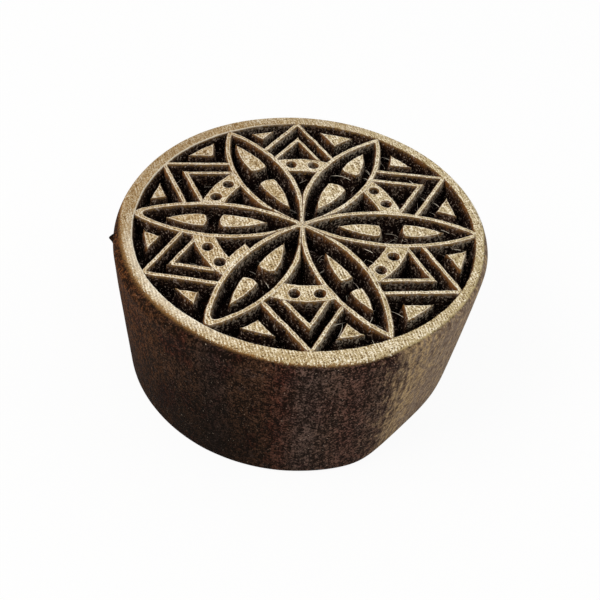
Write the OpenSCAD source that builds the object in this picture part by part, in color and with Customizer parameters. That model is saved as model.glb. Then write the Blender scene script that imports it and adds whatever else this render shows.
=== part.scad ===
// Round wooden textile printing block: a turned drum of hardwood whose face is
// carved in relief with a six-petal compass rosette inside a plain rim.
// The back lies on z = 0 and the printing face looks along +Z.

/* [Block] */
// Height from the back to the printing face
block_h = 35; // [28:0.5:45]
// Diameter of the flat printing face
face_d = 73; // [66:0.5:80]
// How far the shoulder stands out past the edge of the face
shoulder_out = 1.5; // [1:0.1:2.5]
// Distance from the printing face down to the shoulder
shoulder_drop = 2.4; // [1.5:0.1:4]
// How far the back stands out past the edge of the face
back_out = 0.25; // [-2:0.05:0.8]
// Radius that breaks the back edge
back_round = 1.2; // [0.6:0.1:2.4]
// Directions of the flats pared off the foot of the side, in degrees from +X
flat_dir = [-39, -22]; // [-180:0.5:180]
// Depth of each flat at the back
flat_depth = [3.2, 1.9]; // [1:0.1:4]
// Distance below the carved ground at which the flats run out
flat_stop = 0.5; // [0.4:0.1:10]

/* [Relief] */
// Depth of the carved ground below the printing face
relief = 4.8; // [3.5:0.1:7]
// How much each wall of a line spreads from its top to the ground
line_flare = 0.5; // [0.2:0.05:0.6]
// How much each wall of a drop or a corner spreads from its top to the ground
island_flare = 0.9; // [0.4:0.05:1]

/* [Rim] */
// Mean width of the rim's printing line
rim_w = 2.5; // [1.6:0.1:3.4]
// How far the carved well lies off the block's centre, towards +X
well_shift = 0.5; // [0:0.1:1]

/* [Petals] */
// How far the hub of the rosette lies off the block's centre, towards -Y
hub_shift = 0.7; // [0:0.05:1]
// Direction of the first petal's point, in degrees from +X
first_petal = 1.5; // [0:0.5:60]
// How far each petal strays from an even sixth of the circle, in degrees
petal_stray = [0, 2, 1, 1, 1.5, 0]; // [0:0.5:3]
// How far each petal's left line stands off its middle
petal_left = [5, 5.3, 5.5, 5.3, 5.4, 5.1]; // [4.6:0.1:5.6]
// How far each petal's right line stands off its middle
petal_right = [4.7, 5.3, 5.1, 4.4, 4.6, 4.3]; // [4.2:0.1:5.4]
// How far the middles of a petal's lines run past the rim's inner edge before they meet
petal_lap = [0.7, -0.5, -0.3, 0, -0.1, -0.5]; // [-0.6:0.1:1]
// Width of a petal's line
line_w = 1.2; // [1:0.05:1.4]

/* [Drops] */
// Distance from the block's centre to the point of each inner drop
inner_tip = [7.3, 5.1, 5, 7, 7.3, 10]; // [5:0.1:11]
// Distance from the block's centre to the round end of each inner drop
inner_end = [16.1, 14.9, 15.2, 16.6, 16, 18.2]; // [14.5:0.1:18.5]
// How far each inner drop's point lies to the left of the petal's direction
inner_tip_side = [-0.5, -0.6, 0.1, 0.8, 0.3, -0.2]; // [-0.7:0.1:0.9]
// How far each inner drop's end lies to the left of the petal's direction
inner_end_side = [-1, -0.4, 0.5, 1, 1.3, 0.1]; // [-1.1:0.1:1.4]
// Width of each inner drop
inner_drop_w = [3.6, 4.3, 3.7, 3.8, 3.7, 2.7]; // [2.4:0.1:4.4]
// Distance from the block's centre to the point of each outer drop
outer_tip = [28.3, 27.6, 28.9, 26.8, 27.1, 27]; // [26.5:0.1:29]
// Distance from the block's centre to the round end of each outer drop
outer_end = [20.1, 19.4, 18.7, 18.9, 19.2, 20.8]; // [18.5:0.1:21]
// How far each outer drop's point lies to the left of the petal's direction
outer_tip_side = [-0.2, 0.3, 0.9, 1.1, 0.7, 0.4]; // [-0.3:0.1:1.2]
// How far each outer drop's end lies to the left of the petal's direction
outer_end_side = [-0.3, -0.4, -0.1, 1, 0.3, 0.3]; // [-0.5:0.1:1.1]
// Width of each outer drop
outer_drop_w = [3.7, 4.1, 3.9, 3.8, 3.3, 2.7]; // [2.4:0.1:4.4]
// How far the longest outer drop's point stays off the rim
drop_margin = 5.1; // [4.8:0.1:5.4]
// Radius of a drop's round end
drop_end_r = 3.4; // [2.4:0.1:4]

/* [Eyelet bars] */
// Distance from the block's centre to the middle of each bar
bar_reach = [18.7, 18.8, 18.8, 20.1, 20.1, 19.8]; // [18.4:0.1:20.4]
// Width of a bar
bar_w = 4.5; // [4:0.1:4.8]
// Diameter of the drilled eyelets
eyelet_d = 2; // [1.2:0.1:2.2]
// Distance between the two eyelets of a bar
eyelet_pitch = 4.8; // [4:0.1:5]
// How far each pair of eyelets strays from the middle of its bar, in degrees
eyelet_stray = [0, 0.5, 3.5, 3, 4, -1.5]; // [-2:0.5:4]
// Number of the bar that was left uncut along one petal
uncut_bar = 4; // [1:1:6]
// Distance from the block's centre at which the uncut strip ends
uncut_reach = 13.2; // [12:0.1:15]
// Width of the uncut strip
uncut_w = 1.5; // [1:0.1:2]

/* [Chevrons] */
// Width of a chevron's line
chevron_w = 1.05; // [0.8:0.05:1.3]
// Mean angle between the legs and the middle line of each pair of chevrons
chevron_angle = [33.5, 33, 35.5, 35.5, 33, 34.5]; // [32:0.5:36]
// How much wider the counter-clockwise leg's angle is than the mean
chevron_lean = [0.5, 3, 1, 1.5, -2.5, -1]; // [-3:0.5:3]
// How far each pair of chevrons strays from the middle of its sector, in degrees
chevron_stray = [0, 2.5, 1, 0, 4, 1]; // [0:0.5:4]
// How far the point of an outer chevron would run past the rim's inner edge
chevron_lap = 1.1; // [0.6:0.1:1.3]
// Clear groove between the outer and the inner chevron
chevron_groove = 2.2; // [1.8:0.1:2.4]

/* [Corners] */
// Clear groove between each left corner and the two lines beside it
left_groove = [2.1, 2, 2.2, 2.3, 2, 2.5]; // [1.9:0.1:2.6]
// Clear groove between each left corner and the rim
left_rim_groove = [3.3, 2.4, 2.5, 2.8, 2.4, 1.8]; // [1.8:0.1:3.4]
// Clear groove between each right corner and the two lines beside it
right_groove = [2.4, 2.5, 2.4, 2.3, 2.5, 2.5]; // [1.9:0.1:2.6]
// Clear groove between each right corner and the rim
right_rim_groove = [2.8, 2.5, 1.9, 2.4, 2.6, 2.1]; // [1.8:0.1:3.4]

/* [Hidden] */
$fn = 96;

petals = 6;
// Extra height by which cutters pass the printing face and the ground
cut_over = 1;
// Share of a drop's lens that the drop fills before its round end
drop_fill = 0.59;

face_r = face_d / 2;
shoulder_r = face_r + shoulder_out;
back_r = face_r + back_out;
ground_z = block_h - relief;
shoulder_z = block_h - shoulder_drop;
side_lean = atan((shoulder_r - back_r) / shoulder_z);
// Reach of cutting blocks, well past the rim
far = 4 * shoulder_r;

// Arc that meets the shoulder and passes through the edge of the face
shoulder_arc_r = (pow(shoulder_out, 2) + pow(shoulder_drop, 2)) / (2 * shoulder_out);

// Arc that is tangent to the back and to the leaning side
back_arc_x = back_r + back_round * tan(side_lean) - back_round / cos(side_lean);

flat_h = ground_z - flat_stop;
well_r = face_r - rim_w;
// The pattern grows until its longest drop stands at its margin from the rim
grow = well_r / (max(outer_tip) + drop_margin);
hub = [0, -hub_shift * grow];
line_tilt = atan(line_flare / relief);
island_tilt = atan(island_flare / relief);

tan_wood = [0.76, 0.66, 0.47];
dark_wood = [0.27, 0.19, 0.14];

function numbered(name) = [for (k = [1 : petals]) str(name, "_", k)];

// Radius of the leaning side at a height
function side_r(z) = back_r + z * tan(side_lean);

function toward(a) = [cos(a), sin(a)];
// Number of a petal or a sector, counted round the rosette
function nth(k) = (k + petals) % petals;

// Distance from the block's centre to the rim's inner edge in a direction
function well_edge(a) =
    well_shift * cos(a) + sqrt(well_r * well_r - pow(well_shift * sin(a), 2));

// Direction of a petal's point, and of the middle between it and the next
function petal_dir(k) = first_petal + 360 / petals * k + petal_stray[nth(k)];
function sector_dir(k) = (petal_dir(k) + petal_dir(k + 1)) / 2;

// A petal is struck with a compass: two arcs through the hub and its point
function petal_run(k) =
    (well_edge(petal_dir(k)) + petal_lap[nth(k)] * grow) * toward(petal_dir(k)) - hub;
function petal_len(k) = norm(petal_run(k));
function petal_axis(k) =
    petal_dir(k) + asin(cross(toward(petal_dir(k)), petal_run(k)) / petal_len(k));

// Direction in which two petals part at the hub
function hub_cut(k) = (petal_axis(k) + petal_axis(k + 1)) / 2;

// Radius of an arc that rises by rise over the length
function arc_r(length, rise) = (length * length / 4 + rise * rise) / (2 * rise);

// Direction of a chevron, and distance from the block's centre to its outer point
function chevron_dir(k) = sector_dir(k) + chevron_stray[k];
function leg_angle(k, side) = chevron_angle[k] + side * chevron_lean[k];
function outer_apex(k) = well_edge(chevron_dir(k)) + chevron_lap * grow;
function apex_depth(k) = 1 / sin(chevron_angle[k]);
function inner_apex(k) = outer_apex(k) - (chevron_w + chevron_groove * grow) * apex_depth(k);

// Radii of the edges of an eyelet bar
function bar_inner_r(k) = (bar_reach[k] - bar_w / 2) * grow;
function bar_outer_r(k) = (bar_reach[k] + bar_w / 2) * grow;

// Slice of height in which all the relief stands
module relief_layer() {
    translate([0, 0, ground_z])
        cylinder(h = relief, r = shoulder_r);
}

// Cone with radius r at the face that grows by spread down to the ground
module flared_cone(r, spread) {
    slope = spread / relief;
    translate([0, 0, ground_z - cut_over])
        cylinder(
            h = relief + 2 * cut_over,
            r1 = r + slope * (relief + cut_over),
            r2 = r - slope * cut_over
        );
}

// Half space behind x = 0 at the face, whose wall leans out by tilt below it
module leaning_half(tilt) {
    translate([0, 0, block_h])
        rotate([0, -tilt, 0])
            translate([-far, -far, -far])
                cube([far, 2 * far, 2 * far]);
}

// Wedge of plan between two directions, through the full height
module sector(from, to) {
    linear_extrude(height = block_h + cut_over)
        polygon([[0, 0], far * toward(from), far * toward(to)]);
}

// The hollow inside the rim
module well(groove = 0, spread = -line_flare) {
    translate([well_shift, 0, 0])
        flared_cone(well_r - groove, spread);
}

// Lens along +X between two arcs that rise to its left and right, moved out by out
module lens(length, left, right, out, spread) {
    intersection() {
        translate([length / 2, left - arc_r(length, left), 0])
            flared_cone(arc_r(length, left) + out, spread);
        translate([length / 2, arc_r(length, right) - right, 0])
            flared_cone(arc_r(length, right) + out, spread);
    }
}

module petal_lens(k, out, spread) {
    translate(hub)
        rotate(petal_axis(k))
            lens(petal_len(k), petal_left[nth(k)] * grow, petal_right[nth(k)] * grow, out, spread);
}

module petal_blank(k) {
    petal_lens(k, line_w / 2, line_flare);
}

// Half space behind one side of an arrow head, set off by groove
module arrow_side(k, apex, side, groove, tilt) {
    rotate(chevron_dir(k))
        translate([apex, 0, 0])
            rotate(side * (90 - leg_angle(k, side)))
                translate([groove, 0, 0])
                    leaning_half(tilt);
}

// Arrow head whose two sides meet at apex on the chevron's middle line
module arrow_head(k, apex, tilt) {
    intersection_for (side = [-1, 1])
        arrow_side(k, apex, side, 0, tilt);
}

// V of even width, trimmed to the sector between two petals
module chevron(k, apex) {
    difference() {
        intersection() {
            relief_layer();
            well();
            sector(petal_dir(k), petal_dir(k + 1));
            arrow_head(k, apex, line_tilt);
        }
        arrow_head(k, apex - chevron_w * apex_depth(k), -line_tilt);
        petal_blank(k);
        petal_blank(k + 1);
    }
}

// Drop from its point to its round end, both given in the petal's own directions
module drop(k, tip, end, width) {
    run = (end - tip) * grow;
    length = norm(run);
    intersection() {
        relief_layer();
        petal_lens(k, -line_w / 2, -line_flare);
        rotate(petal_dir(k))
            translate(tip * grow)
                rotate(atan2(run[1], run[0]))
                    intersection() {
                        lens(length / drop_fill, width * grow / 2, width * grow / 2, 0, island_flare);
                        translate([length - drop_end_r * grow, 0, 0])
                            union() {
                                flared_cone(drop_end_r * grow, island_flare);
                                translate([-far, -far, 0])
                                    cube([far, 2 * far, block_h + cut_over]);
                            }
                    }
    }
}

// Three-sided island between the rim, a petal and a leg of the outer chevron
module corner(k, side, groove, rim_groove) {
    neighbour = side > 0 ? k + 1 : k;
    edges = [petal_dir(neighbour), chevron_dir(k)];
    difference() {
        intersection() {
            relief_layer();
            well(rim_groove * grow, island_flare);
            sector(min(edges), max(edges));
        }
        petal_lens(neighbour, line_w / 2 + groove * grow, -island_flare);
        arrow_side(k, outer_apex(k), side, groove * grow, -island_tilt);
    }
}

// Half profile of the drum up to the carved ground, with its back edge broken
module drum_profile() {
    difference() {
        polygon([
            [0, 0],
            [back_r, 0],
            [side_r(ground_z), ground_z],
            [0, ground_z]
        ]);
        difference() {
            polygon([
                [back_arc_x, back_round],
                [back_arc_x, -cut_over],
                [shoulder_r, -cut_over],
                [shoulder_r, back_round - (shoulder_r - back_arc_x) * tan(side_lean)]
            ]);
            translate([back_arc_x, back_round])
                circle(r = back_round);
        }
    }
}

// All that lies outside a flat, which runs out at flat_h
module paring(dir, depth) {
    rotate(dir)
        translate([back_r - depth, 0, 0])
            rotate([0, atan((side_r(flat_h) - back_r + depth) / flat_h), 0])
                translate([0, -far, -far])
                    cube([far, 2 * far, 2 * far]);
}

// Turned drum up to the carved ground, with flats pared off its foot
module block_body() {
    color(dark_wood)
        difference() {
            rotate_extrude()
                drum_profile();
            for (i = [0 : len(flat_dir) - 1])
                paring(flat_dir[i], flat_depth[i]);
        }
}

// Plain rim, with the rounded shoulder of the block outside and the well inside
module border_ring() {
    color(tan_wood)
        difference() {
            rotate_extrude()
                difference() {
                    polygon([
                        [0, ground_z],
                        [side_r(ground_z), ground_z],
                        [shoulder_r, shoulder_z],
                        [shoulder_r, block_h],
                        [0, block_h]
                    ]);
                    translate([shoulder_r - shoulder_arc_r, shoulder_z])
                        difference() {
                            square(shoulder_arc_r + cut_over);
                            circle(r = shoulder_arc_r);
                        }
                }
            well();
        }
}

// Outline of one petal, shared with its neighbours at the hub
module petal(k) {
    color(tan_wood)
        difference() {
            intersection() {
                relief_layer();
                well();
                translate(hub)
                    sector(hub_cut(k - 1), hub_cut(k));
                petal_blank(k);
            }
            petal_lens(k, -line_w / 2, -line_flare);
        }
}

// Drop on the hub's side of a petal
module inner_drop(k) {
    color(tan_wood)
        drop(
            k,
            [inner_tip[k], inner_tip_side[k]],
            [inner_end[k], inner_end_side[k]],
            inner_drop_w[k]
        );
}

// Drop on the rim's side of a petal
module outer_drop(k) {
    color(tan_wood)
        drop(
            k,
            [outer_tip[k], outer_tip_side[k]],
            [outer_end[k], outer_end_side[k]],
            outer_drop_w[k]
        );
}

// Pocket between the hub and a bar; one was left uncut along its second petal
module pocket(k) {
    flared_cone((k + 1 == uncut_bar ? uncut_reach * grow : bar_inner_r(k)), -line_flare);
    if (k + 1 == uncut_bar)
        difference() {
            flared_cone(bar_inner_r(k), -line_flare);
            petal_lens(k + 1, line_w / 2 + uncut_w * grow, line_flare);
        }
}

// Curved bar between two petals, drilled with two eyelets
module eyelet_bar(k) {
    color(tan_wood)
        difference() {
            intersection() {
                relief_layer();
                sector(petal_dir(k), petal_dir(k + 1));
                flared_cone(bar_outer_r(k), line_flare);
            }
            pocket(k);
            petal_blank(k);
            petal_blank(k + 1);
            rotate(sector_dir(k) + eyelet_stray[k])
                for (side = [-1, 1])
                    translate([bar_reach[k] * grow, side * eyelet_pitch * grow / 2, ground_z - cut_over])
                        cylinder(h = relief + 2 * cut_over, d = eyelet_d);
        }
}

// Chevron whose point meets the rim
module outer_chevron(k) {
    color(tan_wood)
        chevron(k, outer_apex(k));
}

// Chevron that stands on the eyelet bar
module inner_chevron(k) {
    color(tan_wood)
        difference() {
            chevron(k, inner_apex(k));
            flared_cone(bar_outer_r(k), line_flare);
        }
}

// Corner on the clockwise side of a chevron
module corner_right(k) {
    color(tan_wood)
        corner(k, -1, right_groove[k], right_rim_groove[k]);
}

// Corner on the counter-clockwise side of a chevron
module corner_left(k) {
    color(tan_wood)
        corner(k, 1, left_groove[k], left_rim_groove[k]);
}

block_body();
border_ring();
for (k = [0 : petals - 1]) {
    petal(k);
    inner_drop(k);
    outer_drop(k);
    eyelet_bar(k);
    outer_chevron(k);
    inner_chevron(k);
    corner_left(k);
    corner_right(k);
}
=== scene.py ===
"""Looks of a round wooden textile printing block carved with a six-petal rosette.

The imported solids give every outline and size. Each piece of the block is carved here again as a
closed mesh with worn edges, knife-cut walls and a gouged ground, and is dressed in wood.
"""

import logging
import math
from dataclasses import dataclass, field
from enum import Enum
from typing import Any, Iterable, Union

import bmesh
import bpy
import numpy as np
from mathutils import Matrix, Vector


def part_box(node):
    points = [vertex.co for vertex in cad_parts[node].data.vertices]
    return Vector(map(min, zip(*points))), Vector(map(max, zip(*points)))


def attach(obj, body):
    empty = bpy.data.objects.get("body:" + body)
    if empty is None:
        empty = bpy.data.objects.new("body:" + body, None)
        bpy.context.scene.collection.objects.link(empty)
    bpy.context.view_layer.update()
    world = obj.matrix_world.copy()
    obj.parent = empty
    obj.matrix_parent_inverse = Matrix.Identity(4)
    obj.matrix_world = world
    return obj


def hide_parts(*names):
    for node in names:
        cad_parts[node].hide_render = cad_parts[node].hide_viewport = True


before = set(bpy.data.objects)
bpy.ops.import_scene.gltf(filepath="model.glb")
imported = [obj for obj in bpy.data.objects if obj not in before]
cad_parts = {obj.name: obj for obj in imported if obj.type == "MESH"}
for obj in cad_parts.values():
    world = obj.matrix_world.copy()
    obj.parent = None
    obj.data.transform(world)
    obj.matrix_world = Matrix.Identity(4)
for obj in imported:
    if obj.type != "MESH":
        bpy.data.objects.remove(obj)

LOG = logging.getLogger("printing_block")
MM = 0.001
BODY = "root"
PHOTO_SIDE = 600
FLAT_SLACK = 0.001 * MM
FOOT_HEIGHT = 2 * MM
STORED = ("lean", "pull")
ROUND_TIPS = {"petal_4": 1.8 * MM, "petal_5": 4.4 * MM}

Point = tuple[float, float]
Feed = Union["Signal", float, int, bool, str, tuple, Vector, bpy.types.Material]


class Slot(Enum):
    """Names of material slots."""

    DRUM = "stained_drum"
    LINES = "bare_lines"


class LandKind(Enum):
    """Kinds of raised land. A kind runs into the kinds listed before it."""

    PETAL = "petal"
    EYELET_BAR = "eyelet_bar"
    OUTER_CHEVRON = "outer_chevron"
    INNER_CHEVRON = "inner_chevron"
    INNER_DROP = "inner_drop"
    OUTER_DROP = "outer_drop"
    CORNER_LEFT = "corner_left"
    CORNER_RIGHT = "corner_right"

    @property
    def rank(self) -> int:
        """Place of the kind in the order of lands."""
        return list(LandKind).index(self)

    @property
    def stands_alone(self) -> bool:
        """Whether the land is an island that touches no other."""
        return self.rank >= LandKind.INNER_DROP.rank


def tone(red: int, green: int, blue: int) -> tuple[float, float, float, float]:
    """Turns a colour as it is seen into the light values that a shader takes.

    Args:
        red: Red from 0 to 255.
        green: Green from 0 to 255.
        blue: Blue from 0 to 255.

    Returns:
        Linear red, green and blue, and an alpha of 1.
    """
    parts = [c / 255 for c in (red, green, blue)]
    linear = [c / 12.92 if c <= 0.04045 else ((c + 0.055) / 1.055) ** 2.4 for c in parts]
    return (*linear, 1.0)


class Signal:
    """A socket of a node tree that Python expressions can use."""

    def __init__(self, graph: "Graph", socket: bpy.types.NodeSocket) -> None:
        """Keeps the tree and the socket."""
        self.graph = graph
        self.socket = socket

    def out(self, name: str) -> "Signal":
        """Another output of the same node."""
        return Signal(self.graph, self.graph.find(self.socket.node.outputs, name))

    def __add__(self, other: Feed) -> "Signal":
        """Sum with a number or vector on the right."""
        return self.graph.join("ADD", self, other)

    def __radd__(self, other: Feed) -> "Signal":
        """Sum with a number or vector on the left."""
        return self.graph.join("ADD", other, self)

    def __sub__(self, other: Feed) -> "Signal":
        """Difference from what stands on the right."""
        return self.graph.join("SUBTRACT", self, other)

    def __rsub__(self, other: Feed) -> "Signal":
        """Difference from what stands on the left."""
        return self.graph.join("SUBTRACT", other, self)

    def __mul__(self, other: Feed) -> "Signal":
        """Product with a number or vector on the right."""
        return self.graph.join("MULTIPLY", self, other)

    def __rmul__(self, other: Feed) -> "Signal":
        """Product with a number or vector on the left."""
        return self.graph.join("MULTIPLY", other, self)

    def __truediv__(self, other: Feed) -> "Signal":
        """Quotient by what stands on the right."""
        return self.graph.join("DIVIDE", self, other)

    def __neg__(self) -> "Signal":
        """The value with its sign turned."""
        return self * -1.0


class Graph:
    """A node tree, of a material or of a carving, that is written as expressions."""

    def __init__(self, tree: bpy.types.NodeTree) -> None:
        """Keeps the tree."""
        self.tree = tree

    @staticmethod
    def find(sockets: Any, key: Union[str, int]) -> bpy.types.NodeSocket:
        """Finds a socket by place, identifier or name.

        Args:
            sockets: A node's inputs or outputs.
            key: Place in the row, identifier, or name.

        Returns:
            The socket.
        """
        if isinstance(key, int):
            return sockets[key]
        for socket in sockets:
            if socket.identifier == key:
                return socket
        return sockets[key]

    def node(
        self,
        kind: str,
        settings: dict[str, Any] | None = None,
        feeds: dict[Union[str, int], Feed] | None = None,
        out: Union[str, int] = 0,
    ) -> Signal:
        """Adds a node.

        Args:
            kind: The node's type.
            settings: Properties of the node.
            feeds: Values or links of its sockets.
            out: The output that is returned.

        Returns:
            That output.
        """
        made = self.tree.nodes.new(kind)
        for name, value in (settings or {}).items():
            setattr(made, name, value)
        for key, value in (feeds or {}).items():
            self.feed(self.find(made.inputs, key), value)
        return Signal(self, self.find(made.outputs, out))

    def end(self, kind: str, result: Signal) -> None:
        """Adds an output node and links its first socket."""
        self.tree.links.new(result.socket, self.tree.nodes.new(kind).inputs[0])

    def feed(self, socket: bpy.types.NodeSocket, value: Feed) -> None:
        """Links a socket or sets its value.

        Args:
            socket: The socket.
            value: A signal or a plain value.
        """
        if isinstance(value, Signal):
            self.tree.links.new(value.socket, socket)
        else:
            socket.default_value = value

    @staticmethod
    def is_vector(value: Feed) -> bool:
        """Tells vectors from numbers.

        Args:
            value: A signal or a plain value.

        Returns:
            Whether it is a vector.
        """
        if isinstance(value, Signal):
            return value.socket.type == "VECTOR"
        return isinstance(value, (tuple, Vector))

    def join(self, operation: str, a: Feed, b: Feed) -> Signal:
        """Adds the maths node for two numbers or vectors.

        Args:
            operation: The node's operation.
            a: Left side.
            b: Right side.

        Returns:
            The result.
        """
        vectors = [x for x in (a, b) if self.is_vector(x)]
        if not vectors:
            return self.math(operation, a, b)
        if operation == "MULTIPLY" and len(vectors) == 1:
            number = b if self.is_vector(a) else a
            return self.node(
                "ShaderNodeVectorMath", {"operation": "SCALE"}, {0: vectors[0], "Scale": number}
            )
        return self.node("ShaderNodeVectorMath", {"operation": operation}, {0: a, 1: b})

    def math(self, operation: str, a: Feed, b: Feed = 0.0, c: Feed = 0.0) -> Signal:
        """Adds a maths node on numbers.

        Args:
            operation: The node's operation.
            a: First number.
            b: Second number.
            c: Third number.

        Returns:
            The result.
        """
        return self.node("ShaderNodeMath", {"operation": operation}, {0: a, 1: b, 2: c})

    def step(self, value: Feed, low: Feed, high: Feed) -> Signal:
        """Smooth step up.

        Args:
            value: What is compared.
            low: Where the step begins, at 0.
            high: Where it ends, at 1.

        Returns:
            The step, from 0 to 1.
        """
        return self.node(
            "ShaderNodeMapRange",
            {"interpolation_type": "SMOOTHSTEP"},
            {"Value": value, "From Min": low, "From Max": high},
        )

    def fade(self, value: Feed, low: Feed, high: Feed) -> Signal:
        """Smooth step down, from 1 at low to 0 at high."""
        return 1.0 - self.step(value, low, high)

    def blend(self, share: Feed, a: Feed, b: Feed) -> Signal:
        """Mixes two colours.

        Args:
            share: Share of the second colour.
            a: First colour.
            b: Second colour.

        Returns:
            The mixed colour.
        """
        return self.node(
            "ShaderNodeMix",
            {"data_type": "RGBA"},
            {"Factor_Float": share, "A_Color": a, "B_Color": b},
            "Result_Color",
        )

    def between(self, share: Feed, a: Feed, b: Feed) -> Signal:
        """Mixes two numbers.

        Args:
            share: Share of the second number.
            a: First number.
            b: Second number.

        Returns:
            The mixed number.
        """
        return self.node(
            "ShaderNodeMix",
            {"data_type": "FLOAT"},
            {"Factor_Float": share, "A_Float": a, "B_Float": b},
            "Result_Float",
        )

    def noise(self, place: Signal, scale: float, detail: float = 2.0, rough: float = 0.5) -> Signal:
        """Noise about 0.5.

        Args:
            place: Where the noise is read, in millimetres.
            scale: Waves to the millimetre.
            detail: Number of finer layers.
            rough: Strength of each finer layer.

        Returns:
            The noise's value.
        """
        return self.node(
            "ShaderNodeTexNoise",
            {"noise_dimensions": "3D"},
            {"Vector": place, "Scale": scale, "Detail": detail, "Roughness": rough},
        )

    def cells(self, place: Signal, scale: float) -> Signal:
        """Distance to the middle of the cell that a place lies in, by cells to the millimetre."""
        return self.node("ShaderNodeTexVoronoi", {"feature": "F1"}, {"Vector": place, "Scale": scale})

    def radius(self, x: Signal, y: Signal) -> Signal:
        """Distance from the block's axis."""
        return self.math("SQRT", x * x + y * y)

    def parts(self, vector: Signal) -> tuple[Signal, Signal, Signal]:
        """The three parts of a vector."""
        split = self.node("ShaderNodeSeparateXYZ", feeds={"Vector": vector})
        return split, split.out("Y"), split.out("Z")

    def vector(self, x: Feed, y: Feed, z: Feed) -> Signal:
        """A vector from its three parts."""
        return self.node("ShaderNodeCombineXYZ", feeds={"X": x, "Y": y, "Z": z})


def empty_tree(owner: Union[bpy.types.Material, bpy.types.World]) -> bpy.types.NodeTree:
    """Gives a material or a world an empty node tree.

    Args:
        owner: The material or world.

    Returns:
        The tree.
    """
    owner.use_nodes = True
    owner.node_tree.nodes.clear()
    return owner.node_tree


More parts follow.
